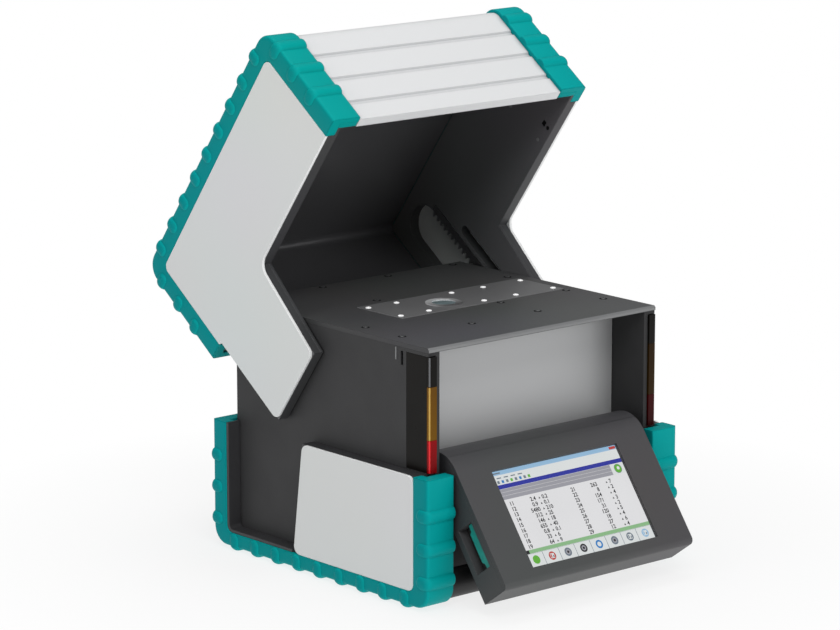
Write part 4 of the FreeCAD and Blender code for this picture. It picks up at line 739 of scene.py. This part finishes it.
SIDES = ((1, "left"), (-1, "right"))
for mirror, hand in SIDES:
    soft_bumper("soft_base_bumper_" + hand, "base_bumper_" + hand, "base", to_base, mirror,
                -HALF_DEPTH, HALF_DEPTH, RIB_HEIGHT, base_high.z, -1,
                (BORDER, WEB_BORDER), (LEG_DEPTH, WEB_DEPTH))
    soft_bumper("soft_lid_bumper_" + hand, "lid_bumper_" + hand, "lid", to_lid, mirror,
                LID_FRONT, LID_REAR, LID_TOP, LID_LOW, 1, (BORDER, BORDER), (SKIN, SKIN))
for mirror, hand in SIDES:
    bumper_foot("lid_bumper_foot_" + hand, mirror)


# Hem along the front edge of the top plate

HEM = ((-0.15, -3.6), (-0.15, -1.7), (0.2, -1.0), (1.2, -0.1), (1.7, 0.12), (2.0, 0.05), (0.4, -1.6),
       (0.1, -3.6))
hem_ends = [[(x, plate_low.y + back, plate_high.z + rise) for back, rise in HEM]
            for x in (plate_low.x, plate_high.x)]
loft_piece("top_hem", hem_ends, "screw_silver", "base", material=hem_metal)


# Painted highlights along the rounded corners of the lamp lenses, and the strip beside the slot in the wall

WALL_X = box_of("chassis_side_left")[0].x
LENS_FRONT = box_of("smoked_lenses")[0].y
GLINT = ((0.03, 1.3), (0.2, 0.8), (0.55, 0.4), (0.9, 0.1), (1.0, 0.4), (0.4, 1.3))
# Colours of the painted highlights on each lens's corner.
GLINTS = (
    ("smoked", 192.4, 217.2, rgb(92, 93, 96)),
    ("amber", 146.3, 191.6, rgb(188, 150, 66)),
    ("red", 118.0, 145.7, rgb(222, 14, 26)),
)
# The right side's highlights are painted darker by this share, as painted shade.
RIGHT_PAINTED_SHADE = 0.3
STRIP_BACK = 42.4
STRIP_WIDE = 1.2
STRIP_THICK = 0.7
STRIP_ENDS = ((209.0, 0.3), (209.5, 0.0), (219.6, 0.0), (220.2, 0.3))


def glint(kind, hand, mirror, low, high, colour):
    """A narrow strip of painted highlight along the rounded corner of a lens."""
    name = kind + "_glint_" + hand
    sections = [[(mirror * (WALL_X + a), LENS_FRONT + b, z) for a, b in GLINT] for z in (low, high)]
    shine = finish_of(name + "_shine", colour, rough=0.25, spread=0.05, patch=40.0)
    return loft_piece(name, sections, "lens_" + kind, "base", 50, shine)


def wall_strip(hand, mirror):
    """A short metal strip on the side wall, beside the slot."""
    sections = []
    for z, inset in STRIP_ENDS:
        outline = ((0.0, inset), (STRIP_THICK - inset, inset + 0.2),
                   (STRIP_THICK - inset, STRIP_WIDE - 0.2 - inset), (0.0, STRIP_WIDE - inset))
        sections.append([(mirror * (WALL_X - a), LENS_FRONT + STRIP_BACK + b, z) for a, b in outline])
    return loft_piece("wall_strip_" + hand, sections, "screw_silver", "base", material=hem_metal)


# Both sides get painted highlights on their lens corners; the right side's are painted darker, as painted
# shade.
for mirror, hand, share in ((1, "left", 1.0), (-1, "right", RIGHT_PAINTED_SHADE)):
    for kind, low, high, colour in GLINTS:
        glint(kind, hand, mirror, low, high, scaled(colour, share))
    wall_strip(hand, mirror)


# Catch and small screws on the inner face of the lid's side walls

LID_INNER = 133.5
MARK_STEPS = ((0.0, 1.0), (0.3, 1.0), (0.4, 0.8))
SCREW_MARK = 1.7


def wall_mark(mesh, mirror, along, height, wide, tall, count, turn):
    """A low plate on the inner face of a lid wall, added to a mesh."""
    rims = []
    for depth, share in MARK_STEPS:
        rim = []
        for index in range(count):
            angle = turn + 2 * math.pi * index / count
            place = Vector((mirror * (LID_INNER - depth), along + wide * share * math.cos(angle),
                            height + tall * share * math.sin(angle)))
            rim.append(mesh.verts.new(to_lid @ (place * MM)))
        rims.append(rim)
    loft(mesh, rims)


def wall_marks(name, marks, slot, material):
    """The same low plates on both lid walls."""
    mesh = bmesh.new()
    for mirror in (-1, 1):
        for mark in marks:
            wall_mark(mesh, mirror, *mark)
    return new_piece(name, mesh, slot, "lid", 35, material, closed=True)


wall_marks("lid_catches", ((-192.0, 34.4, 3.4, 2.8, 4, 0.9), (-191.6, 28.4, 1.8, 1.8, 14, 0.0)),
           "black_plastic", black_and_recess_shade)
wall_marks("lid_wall_screws", ((-174.1, 31.8, SCREW_MARK, SCREW_MARK, 14, 0.0),
                               (-173.7, 77.1, SCREW_MARK, SCREW_MARK, 14, 0.0)),
           "screw_dark", hem_metal)


# The tablet's picture, in millimetres on the screen: x to the right and z up

LEAN = math.radians(180 - motions["tablet_fold"]["range_deg"][1])
to_tablet = Matrix.Translation(Vector(motions["tablet_fold"]["pos_m"])) @ Matrix.Rotation(-LEAN, 4, "X")
SCREEN_DEPTH = -26.6
LAYER = 0.03
LEFT, RIGHT, BOTTOM, TOP = -76.6, 69.1, -96.6, -7.3
TONES = {
    "white": rgb(232, 232, 234), "title": rgb(150, 190, 222), "bar": rgb(226, 230, 230),
    "ink_soft": rgb(112, 124, 136), "green": rgb(96, 178, 52), "blue": rgb(46, 128, 196),
    "red": rgb(190, 60, 52), "band": rgb(30, 42, 158), "grey": rgb(158, 158, 166),
    "green_band": rgb(140, 188, 136), "ink": rgb(22, 24, 28),
}
picture = {}


def sheet_of(colour):
    """The mesh that gathers everything of one colour in the picture."""
    if colour not in picture:
        picture[colour] = bmesh.new()
    return picture[colour]


def spot(x, z, layer):
    """A point of the picture, on one of its thin layers."""
    return to_tablet @ (Vector((x, SCREEN_DEPTH - LAYER * layer, z)) * MM)


def patch(x0, x1, z0, z1, layer, colour):
    """A filled rectangle of the picture."""
    mesh = sheet_of(colour)
    mesh.faces.new([mesh.verts.new(spot(x, z, layer)) for x, z in ((x0, z0), (x1, z0), (x1, z1), (x0, z1))])


def band(down, tall, layer, colour):
    """A stripe over the whole width, a given way down from the top."""
    patch(LEFT, RIGHT, TOP - down - tall, TOP - down, layer, colour)


def disc(x, z, radius, layer, colour, count=28, start=0.0):
    """A filled circle of the picture, or a shape with a few corners."""
    mesh = sheet_of(colour)
    ring = []
    for index in range(count):
        angle = start + 2 * math.pi * index / count
        ring.append(mesh.verts.new(spot(x + radius * math.cos(angle), z + radius * math.sin(angle), layer)))
    mesh.faces.new(ring)


def digits(text, x, z, size, layer, colour, align):
    """Plain figures in the picture."""
    curve = bpy.data.curves.new("figures", "FONT")
    curve.body = text
    curve.size = size
    curve.align_x = align
    curve.offset = size * 0.024
    curve.resolution_u = 3
    item = bpy.data.objects.new("figures", curve)
    scene.collection.objects.link(item)
    bpy.context.view_layer.update()
    evaluated = item.evaluated_get(bpy.context.evaluated_depsgraph_get())
    data = evaluated.to_mesh()
    mesh = sheet_of(colour)
    made = [mesh.verts.new(spot(x + vertex.co.x, z + vertex.co.y, layer)) for vertex in data.vertices]
    for polygon in data.polygons:
        try:
            mesh.faces.new([made[index] for index in polygon.vertices])
        except ValueError:
            continue
    evaluated.to_mesh_clear()
    bpy.data.objects.remove(item)
    bpy.data.curves.remove(curve)


def window_top():
    """Title, menu, tools and the bands over the table."""
    patch(LEFT, RIGHT, BOTTOM, TOP, 0, "white")
    band(0.0, 3.8, 1, "title")
    band(4.0, 8.2, 1, "bar")
    patch(LEFT + 2, LEFT + 10, TOP - 2.6, TOP - 1.4, 2, "ink_soft")
    for index in range(4):
        start = LEFT + 4 + index * 8
        patch(start, start + 5, TOP - 7.0, TOP - 6.0, 2, "ink_soft")
    for index, tone in enumerate(("ink_soft", "blue", "ink_soft", "green") * 2):
        start = LEFT + 3 + index * 5
        patch(start, start + 2.6, TOP - 11.4, TOP - 8.8, 2, tone)
    patch(RIGHT - 8.0, RIGHT - 0.6, TOP - 3.2, TOP - 0.8, 2, "red")
    band(12.6, 3.8, 1, "band")
    band(16.6, 2.8, 1, "grey")
    band(19.6, 3.0, 1, "grey")
    band(22.8, 3.4, 1, "grey")
    patch(RIGHT - 15.5, RIGHT, TOP - 26.4, TOP - 16.5, 2, "bar")
    disc(RIGHT - 7.6, TOP - 21.4, 4.3, 3, "ink_soft")
    disc(RIGHT - 7.6, TOP - 21.4, 3.9, 4, "green")
    disc(RIGHT - 7.2, TOP - 21.0, 1.6, 5, "white")


ROW = 5.05
FIRST_ROW = TOP - 32.4
FIGURE_SIZE = 5.2
COLUMNS = (
    (LEFT + 6, "LEFT", False, ("11", "12", "13", "14", "15", "16", "17", "18", "19")),
    (LEFT + 36, "RIGHT", False, ("2.4", "0.9", "5480", "312", "146", "655", "0.8", "33", "64")),
    (LEFT + 43, "LEFT", True, ("0.2", "0.1", "210", "25", "18", "40", "0.1", "6", "9")),
    (LEFT + 77, "LEFT", False, ("21", "22", "23", "24", "25", "26", "27", "28", "29")),
    (LEFT + 108, "RIGHT", False, ("263", "8", "154", "171", "31", "120", "18", "27", "12")),
    (LEFT + 122, "LEFT", True, ("7", "2", "4", "3", "2", "5", "4", "6", "4")),
)


def table():
    """Columns of figures, some with a small three-cornered mark before them."""
    for x, align, marked, figures in COLUMNS:
        for row, text in enumerate(figures):
            level = FIRST_ROW - row * ROW
            digits(text, x, level, FIGURE_SIZE, 2, "ink", align)
            if marked:
                disc(x - 3.0, level + 1.2, 1.2, 2, "ink", 3, math.pi / 2)


CELL_TONES = ("green", "red", "ink_soft", "ink", "blue", "ink_soft", "ink_soft", "title")
CELL = (RIGHT - LEFT) / len(CELL_TONES)
CELL_MIDDLE = BOTTOM + 6.2


def cell(index, tone):
    """One button of the lower row, with a round sign of its own."""
    x = LEFT + CELL * (index + 0.5)
    patch(x - CELL / 2 + 0.25, x + CELL / 2 - 0.25, BOTTOM + 0.3, BOTTOM + 11.9, 2, "bar")
    disc(x, CELL_MIDDLE, 3.9, 3, tone)
    if index in (2, 3, 5):
        disc(x, CELL_MIDDLE, 2.4, 4, "grey")
        disc(x, CELL_MIDDLE, 1.2, 5, "ink")
    elif index in (1, 6, 7):
        disc(x, CELL_MIDDLE, 3.1, 4, "bar", 4, math.pi / 4)
        patch(x - 1.8, x - 0.6, CELL_MIDDLE - 1.6, CELL_MIDDLE + 1.6, 5, tone)
        patch(x + 0.6, x + 1.8, CELL_MIDDLE - 1.6, CELL_MIDDLE + 0.4, 5, "ink_soft")
    elif index == 4:
        disc(x, CELL_MIDDLE, 2.2, 4, "bar")


window_top()
table()
patch(LEFT, RIGHT, BOTTOM + 12.3, BOTTOM + 15.6, 1, "green_band")
patch(LEFT, LEFT + 5, BOTTOM + 12.3, BOTTOM + 15.6, 2, "ink")
patch(LEFT, RIGHT, BOTTOM, BOTTOM + 12.1, 1, "ink_soft")
for index, tone in enumerate(CELL_TONES):
    cell(index, tone)
for colour, mesh in picture.items():
    new_piece("picture_" + colour, mesh, "screen", "tablet", None, lit("lit " + colour, TONES[colour]))


# Notched board edge in the front half of the tablet's port bay

BOARD_X = (-110.4, -108.8)
BOARD = ((-20.6, -84.6), (-13.0, -84.6), (-13.0, -80.0), (-10.5, -78.0), (-10.5, -52.0), (-13.0, -50.0),
         (-13.0, -44.4), (-20.6, -44.4))
loft_piece("port_board", [[(x, y, z) for y, z in BOARD] for x in BOARD_X], "board", "tablet", None,
           board_green, to_tablet)


# Camera, fitted to the edges of the photo

AZIMUTH = math.radians(-40.983)
ELEVATION = math.radians(12.24)
EYE = Vector((-2105.136, -2404.389, 904.848))

camera = bpy.data.cameras.new("camera")
camera.sensor_width = 36.0
camera.lens = 158.39
camera.clip_end = 50
eye = bpy.data.objects.new("camera", camera)
scene.collection.objects.link(eye)
eye.location = EYE * MM
backwards = Vector((
    math.sin(AZIMUTH) * math.cos(ELEVATION), -math.cos(AZIMUTH) * math.cos(ELEVATION), math.sin(ELEVATION)))
eye.rotation_euler = backwards.to_track_quat("Z", "Y").to_euler()
scene.camera = eye


# Floor that stays pale and keeps the shadow near the object

FLOOR_SPAN = 12.0
FLOOR_DROP = 0.0002
GLOW_NEAR = 0.8
GLOW_FROM = 0.2
GLOW_TO = 0.5


def floor_finish():
    """Matt paint near the object that turns into plain white further out."""
    material, tree, shader = new_material("pale floor", (0.8, 0.8, 0.8, 1.0))
    shader.inputs["Base Color"].default_value = (0.86, 0.86, 0.86, 1.0)
    shader.inputs["Roughness"].default_value = 0.9
    shader.inputs["Specular IOR Level"].default_value = 0.1
    glow = tree.nodes.new("ShaderNodeEmission")
    glow.inputs["Color"].default_value = (1.0, 1.0, 1.0, 1.0)
    glow.inputs["Strength"].default_value = 1.0
    place = tree.nodes.new("ShaderNodeNewGeometry")
    length = tree.nodes.new("ShaderNodeVectorMath")
    length.operation = "LENGTH"
    link(tree, place, "Position", length, 0)
    away = range_of(tree, length, "Value", GLOW_FROM, GLOW_TO, GLOW_NEAR, 1.0)
    mix = tree.nodes.new("ShaderNodeMixShader")
    link(tree, away, "Result", mix, "Fac")
    link(tree, shader, "BSDF", mix, 1)
    link(tree, glow, "Emission", mix, 2)
    link(tree, mix, "Shader", tree.nodes["Material Output"], "Surface")
    return material


floor_mesh = bmesh.new()
floor_mesh.faces.new([floor_mesh.verts.new((x * FLOOR_SPAN, y * FLOOR_SPAN, -FLOOR_DROP))
                      for x, y in ((-1, -1), (1, -1), (1, 1), (-1, 1))])
floor_data = bpy.data.meshes.new("floor")
floor_mesh.to_mesh(floor_data)
floor_mesh.free()
floor = bpy.data.objects.new("floor", floor_data)
scene.collection.objects.link(floor)
floor_data.materials.append(floor_finish())


# Sky, white where the camera sees it and soft grey for the light

def sky_of(world):
    """Fills the node tree of the world."""
    world.use_nodes = True
    tree = world.node_tree
    tree.nodes.clear()
    output = tree.nodes.new("ShaderNodeOutputWorld")
    seen = tree.nodes.new("ShaderNodeBackground")
    seen.inputs["Color"].default_value = (1.0, 1.0, 1.0, 1.0)
    seen.inputs["Strength"].default_value = 1.0
    ambient = tree.nodes.new("ShaderNodeBackground")
    ambient.inputs["Strength"].default_value = 0.34
    height = range_of(tree, axes_of(tree, "Generated"), "Z", -1.0, 1.0)
    sky = ramp_of(tree, height, "Result", (0.42, 0.42, 0.43, 1.0), (1.0, 1.0, 1.0, 1.0), 0.35, 0.9)
    link(tree, sky, "Color", ambient, "Color")
    ray = tree.nodes.new("ShaderNodeLightPath")
    choice = tree.nodes.new("ShaderNodeMixShader")
    link(tree, ray, "Is Camera Ray", choice, "Fac")
    link(tree, ambient, "Background", choice, 1)
    link(tree, seen, "Background", choice, 2)
    link(tree, choice, "Shader", output, "Surface")


scene.world = bpy.data.worlds.new("studio")
sky_of(scene.world)


# Soft lamps: place, target, width and height in metres, and power in watts

def softbox(name, place, target, width, tall, power):
    """A large soft lamp that points at a target."""
    lamp = bpy.data.lights.new(name, "AREA")
    lamp.shape = "RECTANGLE"
    lamp.size = width
    lamp.size_y = tall
    lamp.energy = power
    item = bpy.data.objects.new(name, lamp)
    scene.collection.objects.link(item)
    item.location = place
    item.rotation_euler = (Vector(place) - Vector(target)).to_track_quat("Z", "Y").to_euler()
    return item


softbox("key", (-1.1, -1.6, 2.1), (0, 0, 0.25), 1.3, 1.0, 24.0)
softbox("left", (-2.4, 0.1, 0.9), (0, 0.05, 0.25), 1.4, 1.2, 15.5)
softbox("front", (0.9, -2.4, 0.7), (0, 0, 0.2), 1.3, 1.1, 12.0)
softbox("top", (0.1, 0.2, 2.2), (0, 0, 0.3), 1.2, 1.2, 12.0)

scene.view_settings.view_transform = "Standard"
